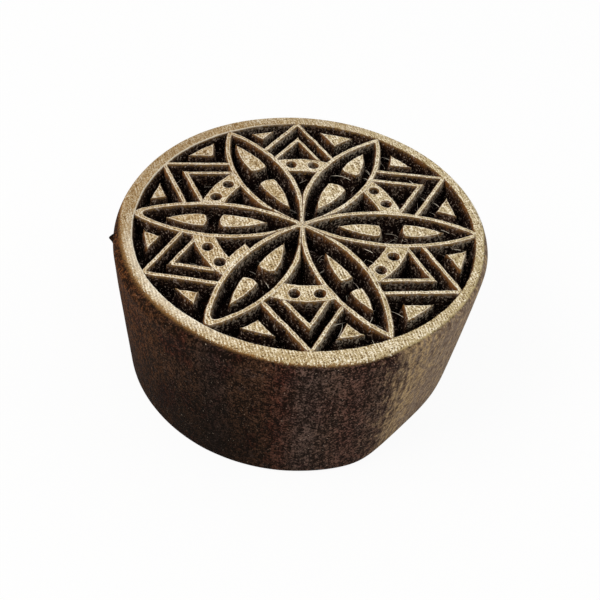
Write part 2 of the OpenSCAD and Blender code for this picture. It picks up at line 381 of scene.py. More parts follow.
class Carving(Graph):
    """A geometry tree with named inputs that turns a drawn line into a plain mesh."""

    weld: float = 0.002 * MM
    slow_waves: float = 0.28
    fast_waves: float = 1.7
    drawn_zone: tuple = (14.0, 34.0)

    def __init__(self, name: str, sizes: dict[str, float]) -> None:
        """Makes the tree with its inputs.

        Args:
            name: The tree's name.
            sizes: Named number inputs with their usual values.
        """
        super().__init__(bpy.data.node_groups.new(name, "GeometryNodeTree"))
        face = self.tree.interface
        face.new_socket(name="Geometry", in_out="OUTPUT", socket_type="NodeSocketGeometry")
        face.new_socket(name="Geometry", in_out="INPUT", socket_type="NodeSocketGeometry")
        for label, value in sizes.items():
            made = face.new_socket(name=label, in_out="INPUT", socket_type="NodeSocketFloat")
            made.default_value = value
        face.new_socket(name="Wood", in_out="INPUT", socket_type="NodeSocketMaterial")
        self.entry = self.node("NodeGroupInput")
        self.build()

    def build(self) -> None:
        """Adds the tree's nodes."""
        raise NotImplementedError

    def size(self, name: str) -> Signal:
        """A named input of the tree."""
        return self.entry.out(name)

    def place(self) -> Signal:
        """Where each point lies, in metres."""
        return self.node("GeometryNodeInputPosition")

    def place_mm(self) -> Signal:
        """Where each point lies, in millimetres."""
        return self.place() * (1 / MM)

    def move(self, geometry: Signal, offset: Signal) -> Signal:
        """Moves every point by an offset."""
        return self.node("GeometryNodeSetPosition", feeds={"Geometry": geometry, "Offset": offset})

    def put(self, geometry: Signal, place: Signal) -> Signal:
        """Puts every point at a place."""
        return self.node("GeometryNodeSetPosition", feeds={"Geometry": geometry, "Position": place})

    def shaded(self, geometry: Signal, smooth: bool) -> Signal:
        """Shades all faces smooth or flat."""
        feeds = {"Geometry": geometry, "Shade Smooth": smooth}
        return self.node("GeometryNodeSetShadeSmooth", feeds=feeds)

    def sampled(self, geometry: Signal, index: Signal) -> Signal:
        """Reads where a point of other geometry lies.

        Args:
            geometry: The geometry.
            index: Number of the point.

        Returns:
            The point's place.
        """
        return self.node(
            "GeometryNodeSampleIndex",
            {"data_type": "FLOAT_VECTOR", "domain": "POINT"},
            {"Geometry": geometry, "Value": self.place(), "Index": index},
        )

    def welded(self, *parts: Signal) -> Signal:
        """Joins geometry and merges the points that meet.

        Args:
            parts: The pieces of geometry.

        Returns:
            The joined geometry.
        """
        joined = self.node("GeometryNodeJoinGeometry")
        for part in parts:
            self.tree.links.new(part.socket, joined.socket.node.inputs[0])
        feeds = {"Geometry": joined, "Distance": self.weld}
        return self.node("GeometryNodeMergeByDistance", feeds=feeds)

    def stray(self, place: Signal, waves: float, detail: float) -> Signal:
        """Noise in all directions, about none.

        Args:
            place: Where the noise is read, in millimetres.
            waves: Waves to the millimetre.
            detail: Number of finer layers.

        Returns:
            The noise as a vector.
        """
        colour = self.node(
            "ShaderNodeTexNoise", feeds={"Vector": place, "Scale": waves, "Detail": detail}, out="Color"
        )
        middle = (0.5, 0.5, 0.5)
        return self.node("ShaderNodeVectorMath", {"operation": "SUBTRACT"}, {0: colour, 1: middle})

    def wander(self, amount: Feed, fine: Feed) -> Signal:
        """Sideways stray of a hand-held knife, the same for all that meet at a place.

        Args:
            amount: Reach of the slow stray.
            fine: Reach of the ragged one.

        Returns:
            The offset in the plane of the face.
        """
        x, y, _ = self.parts(self.place_mm())
        flat = self.vector(x, y, 0.0)
        slow = self.stray(flat, self.slow_waves, 1.0) * amount
        fast = self.stray(flat, self.fast_waves, 2.0) * fine
        wide = self.step(x, *self.drawn_zone) - self.step(-x, *self.drawn_zone)
        drawn_out = self.vector(wide * self.size("Drawn out"), 0.0, 0.0)
        return (slow + fast) * (1.0, 1.0, 0.0) + drawn_out

    def close(self, geometry: Signal) -> None:
        """Ends the tree in real geometry with its material.

        Args:
            geometry: The finished geometry.
        """
        real = self.node("GeometryNodeRealizeInstances", feeds={"Geometry": geometry})
        dressed = self.node(
            "GeometryNodeSetMaterial", feeds={"Geometry": real, "Material": self.size("Wood")}
        )
        self.end("NodeGroupOutput", dressed)

    def carve(self, obj: bpy.types.Object, wood: bpy.types.Material, sizes: dict[str, float]) -> None:
        """Turns an object's drawn line into a plain mesh.

        Args:
            obj: The object, whose mesh is the line.
            wood: Its material.
            sizes: Values of the named inputs.
        """
        modifier = obj.modifiers.new(self.tree.name, "NODES")
        modifier.node_group = self.tree
        for item in self.tree.interface.items_tree:
            if item.in_out == "INPUT" and item.name in sizes:
                modifier[item.identifier] = float(sizes[item.name])
            if item.in_out == "INPUT" and item.name == "Wood":
                modifier[item.identifier] = wood
        depsgraph = bpy.context.evaluated_depsgraph_get()
        mesh = bpy.data.meshes.new_from_object(obj.evaluated_get(depsgraph), depsgraph=depsgraph)
        line = obj.data
        obj.modifiers.remove(modifier)
        obj.data = mesh
        mesh.name = obj.name
        bpy.data.meshes.remove(line)


class LandCarving(Carving):
    """Raised land: a flat top with a worn edge and walls that spread down into the ground."""

    rings: int = 11
    edge_rounds: tuple = ((0.45, 0.14), (0.35, 0.28), (0.2, 0.58))
    wall_zone: tuple = (0.25, 1.0)
    facet_waves: float = 1.1
    facet_upright: float = 0.35
    facet_middle: float = 0.45
    grain_waves: float = 2.2
    grain_upright: float = 0.3
    grain_weight: float = 0.8

    def __init__(self) -> None:
        """Makes the tree with the usual sizes of a land."""
        super().__init__(
            "hand_carved_land",
            {
                "Top": 35 * MM,
                "Depth": 5.4 * MM,
                "Flare": 0.5 * MM,
                "Worn edge": 0.12 * MM,
                "Stray": 0.36 * MM,
                "Ragged": 0.32 * MM,
                "Drawn out": 0.55 * MM,
                "Knife marks": 0.3 * MM,
            },
        )

    def attribute(self, name: str) -> Signal:
        """A vector that was stored on the drawn outline."""
        settings = {"data_type": "FLOAT_VECTOR"}
        return self.node("GeometryNodeInputNamedAttribute", settings, {"Name": name})

    def build(self) -> None:
        """Draws the top, the worn edge and the walls."""
        strayed = self.move(self.entry, self.wander(self.size("Stray"), self.size("Ragged")))
        drawn = self.move(strayed, self.attribute("pull") * self.size("Worn edge"))
        cap = self.cap(self.entry, drawn)
        x, y, z = self.parts(self.place())
        lowered = self.put(cap, self.vector(x, y, z - self.size("Depth")))
        base = self.node("GeometryNodeFlipFaces", feeds={"Mesh": lowered})
        solid = self.welded(cap, self.walls(drawn), base)
        self.close(self.knife_cut(solid))

    def cap(self, outline: Signal, drawn: Signal) -> Signal:
        """Fills the outline with a flat top whose every point then follows the drawn line.

        Args:
            outline: The line before the knife strayed, which never crosses itself.
            drawn: The same line after the stray and the wear.

        Returns:
            The top, point for point on the drawn line.
        """
        curve = self.node("GeometryNodeMeshToCurve", feeds={"Mesh": outline})
        filled = self.node("GeometryNodeFillCurve", {"mode": "TRIANGLES"}, {"Curve": curve})
        x, y, _ = self.parts(self.place())
        level = self.vector(x, y, self.size("Top"))
        nearest = self.node(
            "GeometryNodeSampleNearest",
            {"domain": "POINT"},
            {"Geometry": outline, "Sample Position": level},
        )
        return self.shaded(self.put(filled, self.sampled(drawn, nearest)), False)

    def walls(self, outline: Signal) -> Signal:
        """Draws the outline down in rings, out by the flare and back under at the foot.

        Args:
            outline: The drawn line.

        Returns:
            The walls.
        """
        edge, depth, flare = self.size("Worn edge"), self.size("Depth"), self.size("Flare")
        lean, pull = self.attribute("lean"), self.attribute("pull")
        moves = [
            pull * (edge * -out) + self.vector(0.0, 0.0, edge * -down) for out, down in self.edge_rounds
        ]
        share = 1.0 / self.rings
        wall_step = lean * (flare * share) + self.vector(0.0, 0.0, (depth - edge) * -share)
        moves += [wall_step] * self.rings
        moves += [lean * (flare * -1.0) + pull * edge]
        mesh, chosen = outline, True
        for offset in moves:
            mesh = self.node(
                "GeometryNodeExtrudeMesh",
                {"mode": "EDGES"},
                {"Mesh": mesh, "Selection": chosen, "Offset": offset, "Offset Scale": 1.0},
            )
            chosen = mesh.out("Top")
        return self.shaded(mesh, True)

    def knife_cut(self, solid: Signal) -> Signal:
        """Roughens the walls with the facets that a knife leaves.

        Args:
            solid: The closed land.

        Returns:
            The land with its knife marks.
        """
        x, y, z = self.parts(self.place_mm())
        depth = self.size("Top") * (1 / MM) - z
        wall = self.step(depth, *self.wall_zone)
        facets = self.cells(self.vector(x, y, z * self.facet_upright), self.facet_waves)
        grain = self.noise(self.vector(x, y, z * self.grain_upright), self.grain_waves)
        marks = facets - self.facet_middle + (grain - 0.5) * self.grain_weight
        normal = self.node("GeometryNodeInputNormal")
        return self.move(solid, normal * (marks * self.size("Knife marks") * wall))


class TurnedCarving(Carving):
    """A piece turned about the block's axis from a half profile, with flats pared off its side."""

    crisp_turn: float = 55.0
    soft_reach: float = 1.0 * MM
    tiny: float = 1e-9
    side_zone: tuple = (35.0, 36.6)
    wobble_r: float = 37.0
    wobble_waves: float = 0.1
    wobble_upright: float = 0.5
    ground_zone: tuple = (-0.3 * MM, -0.1 * MM)
    ground_edge: float = 0.5 * MM
    scoop_waves: float = 0.55
    grit_waves: float = 1.3
    gouge_weights: tuple = (0.8, 0.7, -0.65)
    flats: tuple = (1, 2)
    flat_parts: dict = {"turn": 0.0, "reach": 1.0, "slope": 0.0}
    blemishes: tuple = ("Nub", "Dent", "Wear")
    blemish_parts: tuple = ("x", "y", "z", "width", "rise", "squat")
    plain_inputs: tuple = (
        "Stray",
        "Ragged",
        "Drawn out",
        "Stray reach",
        "Well shift",
        "Well reach",
        "Gouge",
        "Gouge level",
        "Gouge reach",
    )

    def __init__(self, turns: int) -> None:
        """Makes the tree.

        Args:
            turns: Steps round the axis.
        """
        self.turns = turns
        inputs = dict.fromkeys(self.plain_inputs, 0.0)
        inputs |= {"Side wobble": 0.15 * MM, "Flat blend": 3.0 * MM}
        for number in self.flats:
            inputs |= {f"Flat {number} {part}": value for part, value in self.flat_parts.items()}
        for name in self.blemishes:
            inputs |= {f"{name} {part}": 0.0 for part in self.blemish_parts}
        super().__init__(f"turned_{turns}", inputs)

    def build(self) -> None:
        """Turns the profile, moves the well, strays, gouges and pares."""
        solid = self.lathe()
        offsets = [self.well_move(), self.rim_stray(), self.side_wobble()]
        offsets += [self.paring(number) for number in self.flats]
        offsets += [self.blemish(name) for name in self.blemishes]
        for offset in offsets + [self.gouges()]:
            solid = self.move(solid, offset)
        self.close(self.crisp(self.welded(solid)))

    def lathe(self) -> Signal:
        """Wraps a grid round the axis along the profile.

        Returns:
            The turned skin.
        """
        count = self.node("GeometryNodeAttributeDomainSize", feeds={"Geometry": self.entry})
        grid = self.node(
            "GeometryNodeMeshGrid", feeds={"Vertices X": self.turns + 1, "Vertices Y": count}
        )
        index = self.node("GeometryNodeInputIndex")
        along = self.math("FLOORED_MODULO", index, count)
        around = self.math("FLOOR", (index + 0.5) / count)
        angle = self.math("FLOORED_MODULO", around, float(self.turns)) * (2 * math.pi / self.turns)
        radius, _, height = self.parts(self.sampled(self.entry, along))
        x, y = radius * self.math("COSINE", angle), radius * self.math("SINE", angle)
        return self.shaded(self.put(grid, self.vector(x, y, height)), True)

    def crisp(self, solid: Signal) -> Signal:
        """Keeps the edges between the sides of the profile crisp.

        Args:
            solid: The carved piece.

        Returns:
            The piece with crisp edges.
        """
        angle = self.node("GeometryNodeInputMeshEdgeAngle", out="Unsigned Angle")
        sharp = self.math("GREATER_THAN", angle, math.radians(self.crisp_turn))
        return self.node(
            "GeometryNodeSetShadeSmooth",
            {"domain": "EDGE"},
            {"Geometry": solid, "Selection": sharp, "Shade Smooth": False},
        )

    def within(self, name: str) -> Signal:
        """Share of what lies nearer to the axis than a reach.

        Args:
            name: The input that gives the reach.

        Returns:
            The share.
        """
        x, y, _ = self.parts(self.place())
        reach = self.size(name)
        return self.fade(self.radius(x, y), reach, reach + self.soft_reach)

    def well_move(self) -> Signal:
        """Move of the well off the axis."""
        return self.vector(self.size("Well shift") * self.within("Well reach"), 0.0, 0.0)

    def rim_stray(self) -> Signal:
        """Stray of the knife along the rim's inner edge."""
        return self.wander(self.size("Stray"), self.size("Ragged")) * self.within("Stray reach")

    def side_wobble(self) -> Signal:
        """Slow unevenness of the side, in and never out.

        Returns:
            The offset.
        """
        x, y, z = self.parts(self.place_mm())
        radius = self.radius(x, y) + 0.001
        across, ahead = x / radius, y / radius
        outside = self.step(radius, *self.side_zone)
        spot = self.vector(across * self.wobble_r, ahead * self.wobble_r, z * self.wobble_upright)
        depth = self.noise(spot, self.wobble_waves) * self.size("Side wobble") * outside
        return self.vector(across * -depth, ahead * -depth, 0.0)

    def paring(self, number: int) -> Signal:
        """Moves what stands outside a flat back onto it.

        Args:
            number: Number of the flat.

        Returns:
            The offset.
        """
        turn = self.size(f"Flat {number} turn")
        x, y, z = self.parts(self.place())
        cosine, sine = self.math("COSINE", turn), self.math("SINE", turn)
        limit = self.size(f"Flat {number} reach") + z * self.size(f"Flat {number} slope")
        proud = self.math("SMOOTH_MAX", x * cosine + y * sine - limit, 0.0, self.size("Flat blend"))
        return self.vector(cosine * -proud, sine * -proud, 0.0)

    def blemish(self, name: str) -> Signal:
        """Lump or dent at one place of the shoulder.

        Args:
            name: Its name.

        Returns:
            The offset.
        """
        x, y, z = self.parts(self.place())
        at_x, at_y = self.size(f"{name} x"), self.size(f"{name} y")
        high = (z - self.size(f"{name} z")) * self.size(f"{name} squat")
        aside, ahead = x - at_x, y - at_y
        gap = self.math("SQRT", aside * aside + ahead * ahead + high * high)
        lump = self.fade(gap, 0.0, self.size(f"{name} width") + self.tiny)
        lump = lump * self.size(f"{name} rise") / (self.radius(at_x, at_y) + self.tiny)
        return self.vector(at_x * lump, at_y * lump, 0.0)

    def gouges(self) -> Signal:
        """Short scoops that the gouge leaves in the carved ground.

        Returns:
            The offset.
        """
        x, y, z = self.parts(self.place_mm())
        level, reach = self.size("Gouge level"), self.size("Gouge reach")
        low, high = self.ground_zone
        upper = self.step(z * MM, level + low, level + high)
        inside = self.fade(self.radius(x, y) * MM, reach - self.ground_edge, reach)
        flat = self.vector(x, y, 0.0)
        scoops = self.cells(flat, self.scoop_waves)
        grit = self.noise(flat, self.grit_waves, detail=3.0, rough=0.6)
        scoop_weight, grit_weight, middle = self.gouge_weights
        drop = (scoops * scoops * scoop_weight + grit * grit_weight + middle) * self.size("Gouge")
        return self.vector(0.0, 0.0, drop * upper * inside)


class FibreCarving(Carving):
    """Loose fibres that the gouge left standing on the ground."""

    ground_zone: tuple = (-0.6 * MM, -0.5 * MM)
    soft_reach: float = 0.1 * MM
    patch_waves: float = 0.09
    more_at_right: float = 0.004 / MM
    patch_zone: tuple = (0.42, 0.7)
    least_turn: tuple = (-0.6, -0.25, -2.1)
    most_turn: tuple = (0.6, 0.2, -0.2)
    turn_seed: int = 11
    least_scale: float = 0.35
    scale_seed: int = 23
    under_face: float = 0.1 * MM
    bends: int = 9
    sides: int = 3
    middle: tuple = (0.5, 0.12, 0.3)
    tip: tuple = (1.0, -0.05, 0.34)

    def __init__(self) -> None:
        """Makes the tree with the usual sizes of a fibre."""
        super().__init__(
            "loose_fibres",
            {
                "To the square metre": 1.5e5,
                "Length": 9.0 * MM,
                "Thickness": 0.14 * MM,
                "Level": 30 * MM,
                "Top": 35 * MM,
                "Reach": 33 * MM,
                "Seed": 7.0,
            },
        )

    def build(self) -> None:
        """Scatters bent fibres over the ground."""
        points = self.node(
            "GeometryNodeDistributePointsOnFaces",
            {"distribute_method": "RANDOM"},
            {"Mesh": self.entry, "Density": self.crowd(), "Seed": self.size("Seed")},
        )
        lying = self.node(
            "FunctionNodeRandomValue",
            {"data_type": "FLOAT_VECTOR"},
            {"Min": self.least_turn, "Max": self.most_turn, "Seed": self.turn_seed},
        )
        grown = self.node(
            "FunctionNodeRandomValue",
            {"data_type": "FLOAT"},
            {"Min_001": self.least_scale, "Max_001": 1.0, "Seed": self.scale_seed},
            1,
        )
        planted = self.node(
            "GeometryNodeInstanceOnPoints",
            feeds={"Points": points, "Instance": self.fibre(), "Rotation": lying, "Scale": grown},
        )
        self.close(self.kept_in(planted))

    def crowd(self) -> Signal:
        """How many fibres stand at each place of the ground.

        Returns:
            Fibres to the square metre.
        """
        x, y, z = self.parts(self.place())
        level, reach = self.size("Level"), self.size("Reach")
        low, high = self.ground_zone
        on_ground = self.step(z, level + low, level + high)
        inside = self.fade(self.radius(x, y), reach, reach + self.soft_reach)
        cloud = self.noise(self.place_mm(), self.patch_waves, detail=1.0)
        patch = self.step(cloud + x * self.more_at_right, *self.patch_zone)
        return self.size("To the square metre") * on_ground * inside * patch

    def kept_in(self, planted: Signal) -> Signal:
        """Bends the fibres back that would stand out of the well.

        Args:
            planted: The scattered fibres.

        Returns:
            The fibres inside the rim and under the face.
        """
        real = self.node("GeometryNodeRealizeInstances", feeds={"Geometry": planted})
        x, y, z = self.parts(self.place())
        share = self.math("MINIMUM", self.size("Reach") / (self.radius(x, y) + 1e-9), 1.0)
        low = self.math("MINIMUM", z, self.size("Top") - self.under_face)
        return self.put(real, self.vector(x * share, y * share, low))

    def fibre(self) -> Signal:
        """One bent fibre with a three-sided section, along +X.

        Returns:
            The fibre.
        """
        long, thick = self.size("Length"), self.size("Thickness")
        bend = self.node(
            "GeometryNodeCurveQuadraticBezier",
            feeds={
                "Resolution": self.bends,
                "Start": self.vector(0.0, 0.0, 0.0),
                "Middle": self.vector(*(long * share for share in self.middle)),
                "End": self.vector(*(long * share for share in self.tip)),
            },
        )
        ring = self.node(
            "GeometryNodeCurvePrimitiveCircle", feeds={"Resolution": self.sides, "Radius": thick * 0.5}
        )
        return self.node(
            "GeometryNodeCurveToMesh", feeds={"Curve": bend, "Profile Curve": ring, "Fill Caps": True}
        )


@dataclass
class Surface:
    """What a finish gives at every place of a piece."""

    colour: Signal
    rough: Signal
    height: Signal

    def under(self, graph: Graph, share: Signal, other: "Surface") -> "Surface":
        """Mixes in another finish.

        Args:
            graph: The material's tree.
            share: Share of the other finish.
            other: The other finish.

        Returns:
            The mixed finish.
        """
        return Surface(
            graph.blend(share, self.colour, other.colour),
            graph.between(share, self.rough, other.rough),
            graph.between(share, self.height, other.height),
        )


class WoodTree(Graph):
    """A material's tree with the places that the wood's finishes read."""

    def __init__(self, name: str) -> None:
        """Makes an empty material.

        Args:
            name: The material's name.
        """
        self.material = bpy.data.materials.new(name)
        super().__init__(empty_tree(self.material))
        self.place = self.node("ShaderNodeTexCoord", out="Object") * (1 / MM)
        self.x, self.y, self.z = self.parts(self.place)
        self.normal = self.node("ShaderNodeNewGeometry", out="Normal")
        self.facing_x, self.facing_y, self.facing_z = self.parts(self.normal)

    def turned(self, degrees: float, stretch: tuple[float, float, float]) -> Signal:
        """Places turned about the axis and stretched, for grain.

        Args:
            degrees: Turn of the grain's first direction about the block's axis.
            stretch: How much longer the grain is along each of its directions.

        Returns:
            The new places.
        """
        return self.node(
            "ShaderNodeMapping",
            {"vector_type": "TEXTURE"},
            {
                "Vector": self.place,
                "Rotation": (0.0, 0.0, math.radians(degrees)),
                "Scale": stretch,
            },
        )

    def finish(self, surface: Surface, bump: float, sheen: float) -> bpy.types.Material:
        """Ends the tree in a shader.

        Args:
            surface: The finish.
            bump: Strength of its relief.
            sheen: Level of its reflection.

        Returns:
            The material.
        """
        relief = self.node(
            "ShaderNodeBump", feeds={"Strength": bump, "Distance": 0.1 * MM, "Height": surface.height}
        )
        shader = self.node(
            "ShaderNodeBsdfPrincipled",
            feeds={
                "Base Color": surface.colour,
                "Roughness": surface.rough,
                "Normal": relief,
                "Specular IOR Level": sheen,
            },
        )
        self.end("ShaderNodeOutputMaterial", shader)
        return self.material


@dataclass(frozen=True)
class BareFace:
    """Sanded bare wood of the printing face, with fine saw marks and dark specks."""

    pale: tuple = tone(252, 244, 226)
    light: tuple = tone(219, 201, 165)
    warm: tuple = tone(180, 149, 104)
    cool: tuple = tone(184, 166, 126)
    aged: tuple = tone(128, 98, 60)
    dark: tuple = tone(116, 88, 52)
    speck: tuple = tone(56, 38, 22)
    mark_turn: float = -70.0
    mark_step: float = 0.58

    def surface(self, wood: WoodTree) -> Surface:
        """Adds the finish to a material.

        Args:
            wood: The material's tree.

        Returns:
            The finish.
        """
        cloud = wood.noise(wood.place, scale=0.2, detail=3.0)
        blotch = wood.noise(wood.place, scale=1.0)
        grain = wood.noise(wood.turned(self.mark_turn, (3.5, 1.0, 1.0)), scale=2.2, rough=0.7)
        grit = wood.noise(wood.place, scale=3.2, rough=0.8)
        across = math.radians(self.mark_turn + 90.0)
        along = wood.x * math.cos(across) + wood.y * math.sin(across)
        clear = 0.4 + 0.6 * wood.step(-wood.y, -5.0, 20.0)
        saw = wood.math("SINE", along * (2 * math.pi / self.mark_step) + cloud * 7.0) * clear
        rough = (grit - 0.5) * 1.5 + (blotch - 0.5) * 0.3 + (grain - 0.5) * 0.7
        shade = rough + (cloud - 0.5) * 0.5 + saw * 0.1 + wood.step(wood.y, -8.0, 22.0) * 0.04
        tint = wood.blend(wood.step(wood.x, -34.0, 24.0), self.warm, self.cool)
        tint = wood.blend(wood.step(shade, -0.02, 0.12), tint, self.light)
        tint = wood.blend(wood.step(shade, 0.1, 0.26), tint, self.pale)
        tint = wood.blend(wood.step(saw * -0.04 - rough, 0.06, 0.18), tint, self.dark)
        handled = wood.step(wood.y * 0.5 - wood.x * 0.85 + (cloud - 0.5) * 30.0, 6.0, 38.0)
        tint = wood.blend(handled * 0.4, tint, self.aged)
        tint = wood.blend(wood.step(-rough, 0.2, 0.3), tint, self.speck)
        return Surface(tint, 0.72 + grit * 0.2, shade * 1.2)


@dataclass(frozen=True)
class KnifeWall:
    """Cut walls of the relief: black with ink, browner close to the face and flecked with bare wood,
    with painted warm light on walls facing left and painted pale light on walls facing right.
    """

    deep: tuple = tone(18, 8, 6)
    brown: tuple = tone(80, 58, 44)
    lip: tuple = tone(128, 98, 60)
    # warm: painted warm light on the upper walls that face the left
    warm: tuple = tone(122, 76, 34)
    # grey: painted pale light on the walls that face the right
    grey: tuple = tone(160, 147, 128)
    fleck: tuple = tone(178, 162, 148)

    def surface(self, wood: WoodTree, top: float) -> Surface:
        """Adds the finish to a material.

        Args:
            wood: The material's tree.
            top: Height of the face in millimetres.

        Returns:
            The finish.
        """
        depth = top - wood.z
        streaks = wood.noise(wood.turned(0.0, (1.0, 1.0, 2.8)), scale=1.6, detail=3.0, rough=0.65)
        grit = wood.noise(wood.place, scale=2.0, rough=0.8)
        patch = wood.noise(wood.place, scale=0.35)
        sunk = wood.step(depth, 0.5, 4.0)
        worn = wood.step(grit * 0.7 + streaks * 0.3 + (patch - 0.5) * 0.2 - sunk * 0.06, 0.47, 0.54)
        tint = wood.blend(worn * (0.95 - sunk * 0.75), self.deep, self.brown)
        edge = wood.fade(depth + (streaks - 0.5) * 1.2 + (grit - 0.5) * 3.0, 0.1, 0.6)
        tint = wood.blend(edge * 0.85, tint, self.lip)
        # Painted light: upper walls that face the left are tinted warm, where the key lamp falls.
        lit = wood.step(wood.facing_x * -0.9 + wood.facing_y * -0.15, 0.3, 0.95)
        shallow = wood.fade(depth + (streaks - 0.5) * 2.4 + (grit - 0.5) * 1.2, 0.3, 1.7)
        tint = wood.blend(lit * shallow * wood.step(patch, 0.36, 0.62) * 0.75, tint, self.warm)
        # Painted light: walls that face the right go pale grey near the face; the rubbed share below is
        # this painted light, broken up by noise.
        painted_fill_light = wood.step(wood.facing_x * 0.95 + wood.facing_y * -0.45, 0.3, 0.95)
        rubbed = painted_fill_light * wood.step(worn, 0.1, 0.8)
        near = wood.fade(depth + (streaks - 0.5) * 2.4, 0.9, 2.7)
        tint = wood.blend(rubbed * near * wood.step(wood.x, -34.0, 6.0) * 0.9, tint, self.grey)
        tint = wood.blend(wood.step(grit + (streaks - 0.5) * 0.3, 0.6, 0.66) * 0.75, tint, self.fleck)
        return Surface(tint, 0.66 + grit * 0.25, streaks * 0.8 + grit)


@dataclass(frozen=True)
class CarvedGround:
    """Ground of the relief, black with ink and sprinkled with dust."""

    black: tuple = tone(16, 7, 5)
    brown: tuple = tone(38, 22, 16)
    dust: tuple = tone(178, 160, 145)

    def surface(self, wood: WoodTree) -> Surface:
        """Adds the finish to a material.

        Args:
            wood: The material's tree.

        Returns:
            The finish.
        """
        patch = wood.noise(wood.place, scale=0.4, detail=3.0)
        grit = wood.noise(wood.place, scale=2.2, rough=0.8)
        tint = wood.blend(wood.step(patch, 0.42, 0.7), self.black, self.brown)
        tint = wood.blend(wood.step(grit + (patch - 0.5) * 0.25, 0.6, 0.66) * 0.8, tint, self.dust)
        return Surface(tint, 0.75 + grit * 0.2, grit + patch)


@dataclass(frozen=True)
class StainedSide:
    """Dark stain of the drum's side: mottled, streaked and rubbed golden over the pared flats, with
    painted shade towards the bottom at the left.
    """

    black: tuple = tone(12, 7, 4)
    brown: tuple = tone(98, 68, 50)
    red: tuple = tone(112, 52, 40)
    slate: tuple = tone(74, 66, 66)
    dusty: tuple = tone(126, 104, 94)
    gold: tuple = tone(184, 156, 116)
    grey: tuple = tone(158, 138, 120)
    scuffed: tuple = tone(92, 66, 52)
    tan: tuple = tone(108, 64, 30)
    speck: tuple = tone(196, 180, 160)
    gold_zone: tuple = (-58.0, 90.0)
    ridge_zone: tuple = (-62.0, -46.0)
    tan_zone: tuple = (-192.0, -138.0)
    dark_zone: tuple = (-132.0, -98.0)
    dusty_zone: tuple = (-90.0, -54.0)
    red_streaks: tuple = ((-94.0, -87.5), (-75.0, -67.0))
    slate_streaks: tuple = ((-87.0, -80.0), (-115.0, -107.0))

    def surface(self, wood: WoodTree) -> Surface:
        """Adds the finish to a material.

        Args:
            wood: The material's tree.

        Returns:
            The finish.
        """
        grain = wood.noise(wood.turned(0.0, (1.0, 1.0, 6.0)), scale=1.5, rough=0.6)
        mottle = wood.noise(wood.place, scale=0.4, detail=4.0, rough=0.7)
        cloud = wood.noise(wood.turned(0.0, (1.0, 1.0, 2.0)), scale=0.2, detail=4.0, rough=0.65)
        fine = wood.noise(wood.place, scale=1.1, detail=3.0, rough=0.7)
        grit = wood.noise(wood.place, scale=2.8, rough=0.8)
        tint = wood.blend(wood.step(cloud, 0.5, 0.64) * 0.5, self.brown, self.red)
        tint = wood.blend(wood.step(mottle, 0.52, 0.66) * 0.5, tint, self.slate)
        for streaks, colour in ((self.red_streaks, self.red), (self.slate_streaks, self.slate)):
            for streak in streaks:
                tint = wood.blend(self.share(wood, streak, 3.0, mottle, grain) * 0.4, tint, colour)
        tan = self.share(wood, self.tan_zone, 14.0, mottle, grain)
        tint = wood.blend(tan * 0.85, tint, self.tan)
        dusty = self.share(wood, self.dusty_zone, 5.0, mottle, grain)
        tint = wood.blend(dusty * 0.4, tint, self.dusty)
        behind = wood.step(wood.y + (mottle - 0.5) * 40.0 + (fine - 0.5) * 12.0, -2.0, 22.0)
        gold = self.share(wood, self.gold_zone, 7.0, mottle, grain) * (1.0 - behind)
        ridge = self.share(wood, self.ridge_zone, 6.0, mottle, grain)
        plain = wood.step(fine * 0.6 + grain * 0.4 - ridge * 0.08, 0.36, 0.52)
        rubbed = wood.blend(plain, self.gold, self.grey)
        scuffs = wood.noise(wood.turned(0.0, (1.0, 1.0, 2.6)), scale=1.2, detail=4.0, rough=0.75)
        rubbed = wood.blend(wood.step(scuffs * 0.6 + fine * 0.4, 0.46, 0.6) * 0.7, rubbed, self.scuffed)
        tint = wood.blend(gold * 0.9, tint, rubbed)
        sooty = self.share(wood, self.dark_zone, 14.0, mottle, grain)
        tint = wood.blend(sooty * 0.45, tint, self.black)
        # Painted shade: the side goes darker towards the bottom at the left and in the middle.
        low = wood.step(-wood.z, -30.0, -4.0) * wood.step(-wood.x, -8.0, 12.0)
        tint = wood.blend(low * 0.65, tint, self.black)
        dirt = wood.step(grit * 0.46 + fine * 0.28 + cloud * 0.1 + grain * 0.16, 0.41, 0.53)
        tint = wood.blend(dirt * (0.95 - gold * 0.55), tint, self.black)
        flecks = wood.step(fine * 0.3 - grit, -0.16, -0.1) * (0.45 + dusty * 0.3 - tan * 0.35)
        tint = wood.blend(flecks, tint, self.speck)
        return Surface(tint, 0.62 + mottle * 0.3, grain * 0.6 + grit * 1.2 + mottle * 0.5)

    @staticmethod
    def share(wood: WoodTree, zone: Point, soft: float, mottle: Signal, grain: Signal) -> Signal:
        """Share of a stretch of the side between two directions.

        Args:
            wood: The material's tree.
            zone: First and last direction, in degrees from +X.
            soft: Width of its edges, in degrees.
            mottle: Slow noise.
            grain: Upright streaks.

        Returns:
            The share.
        """
        middle, half = math.radians(sum(zone) / 2), (zone[1] - zone[0]) / 2
        ahead = wood.x * math.cos(middle) + wood.y * math.sin(middle)
        aside = wood.y * math.cos(middle) - wood.x * math.sin(middle)
        turn = wood.math("ABSOLUTE", wood.math("ARCTAN2", aside, ahead) * (180 / math.pi))
        ragged = turn + (mottle - 0.5) * (4 * soft) + (grain - 0.5) * (2 * soft)
        return wood.fade(ragged, half - soft, half + soft)


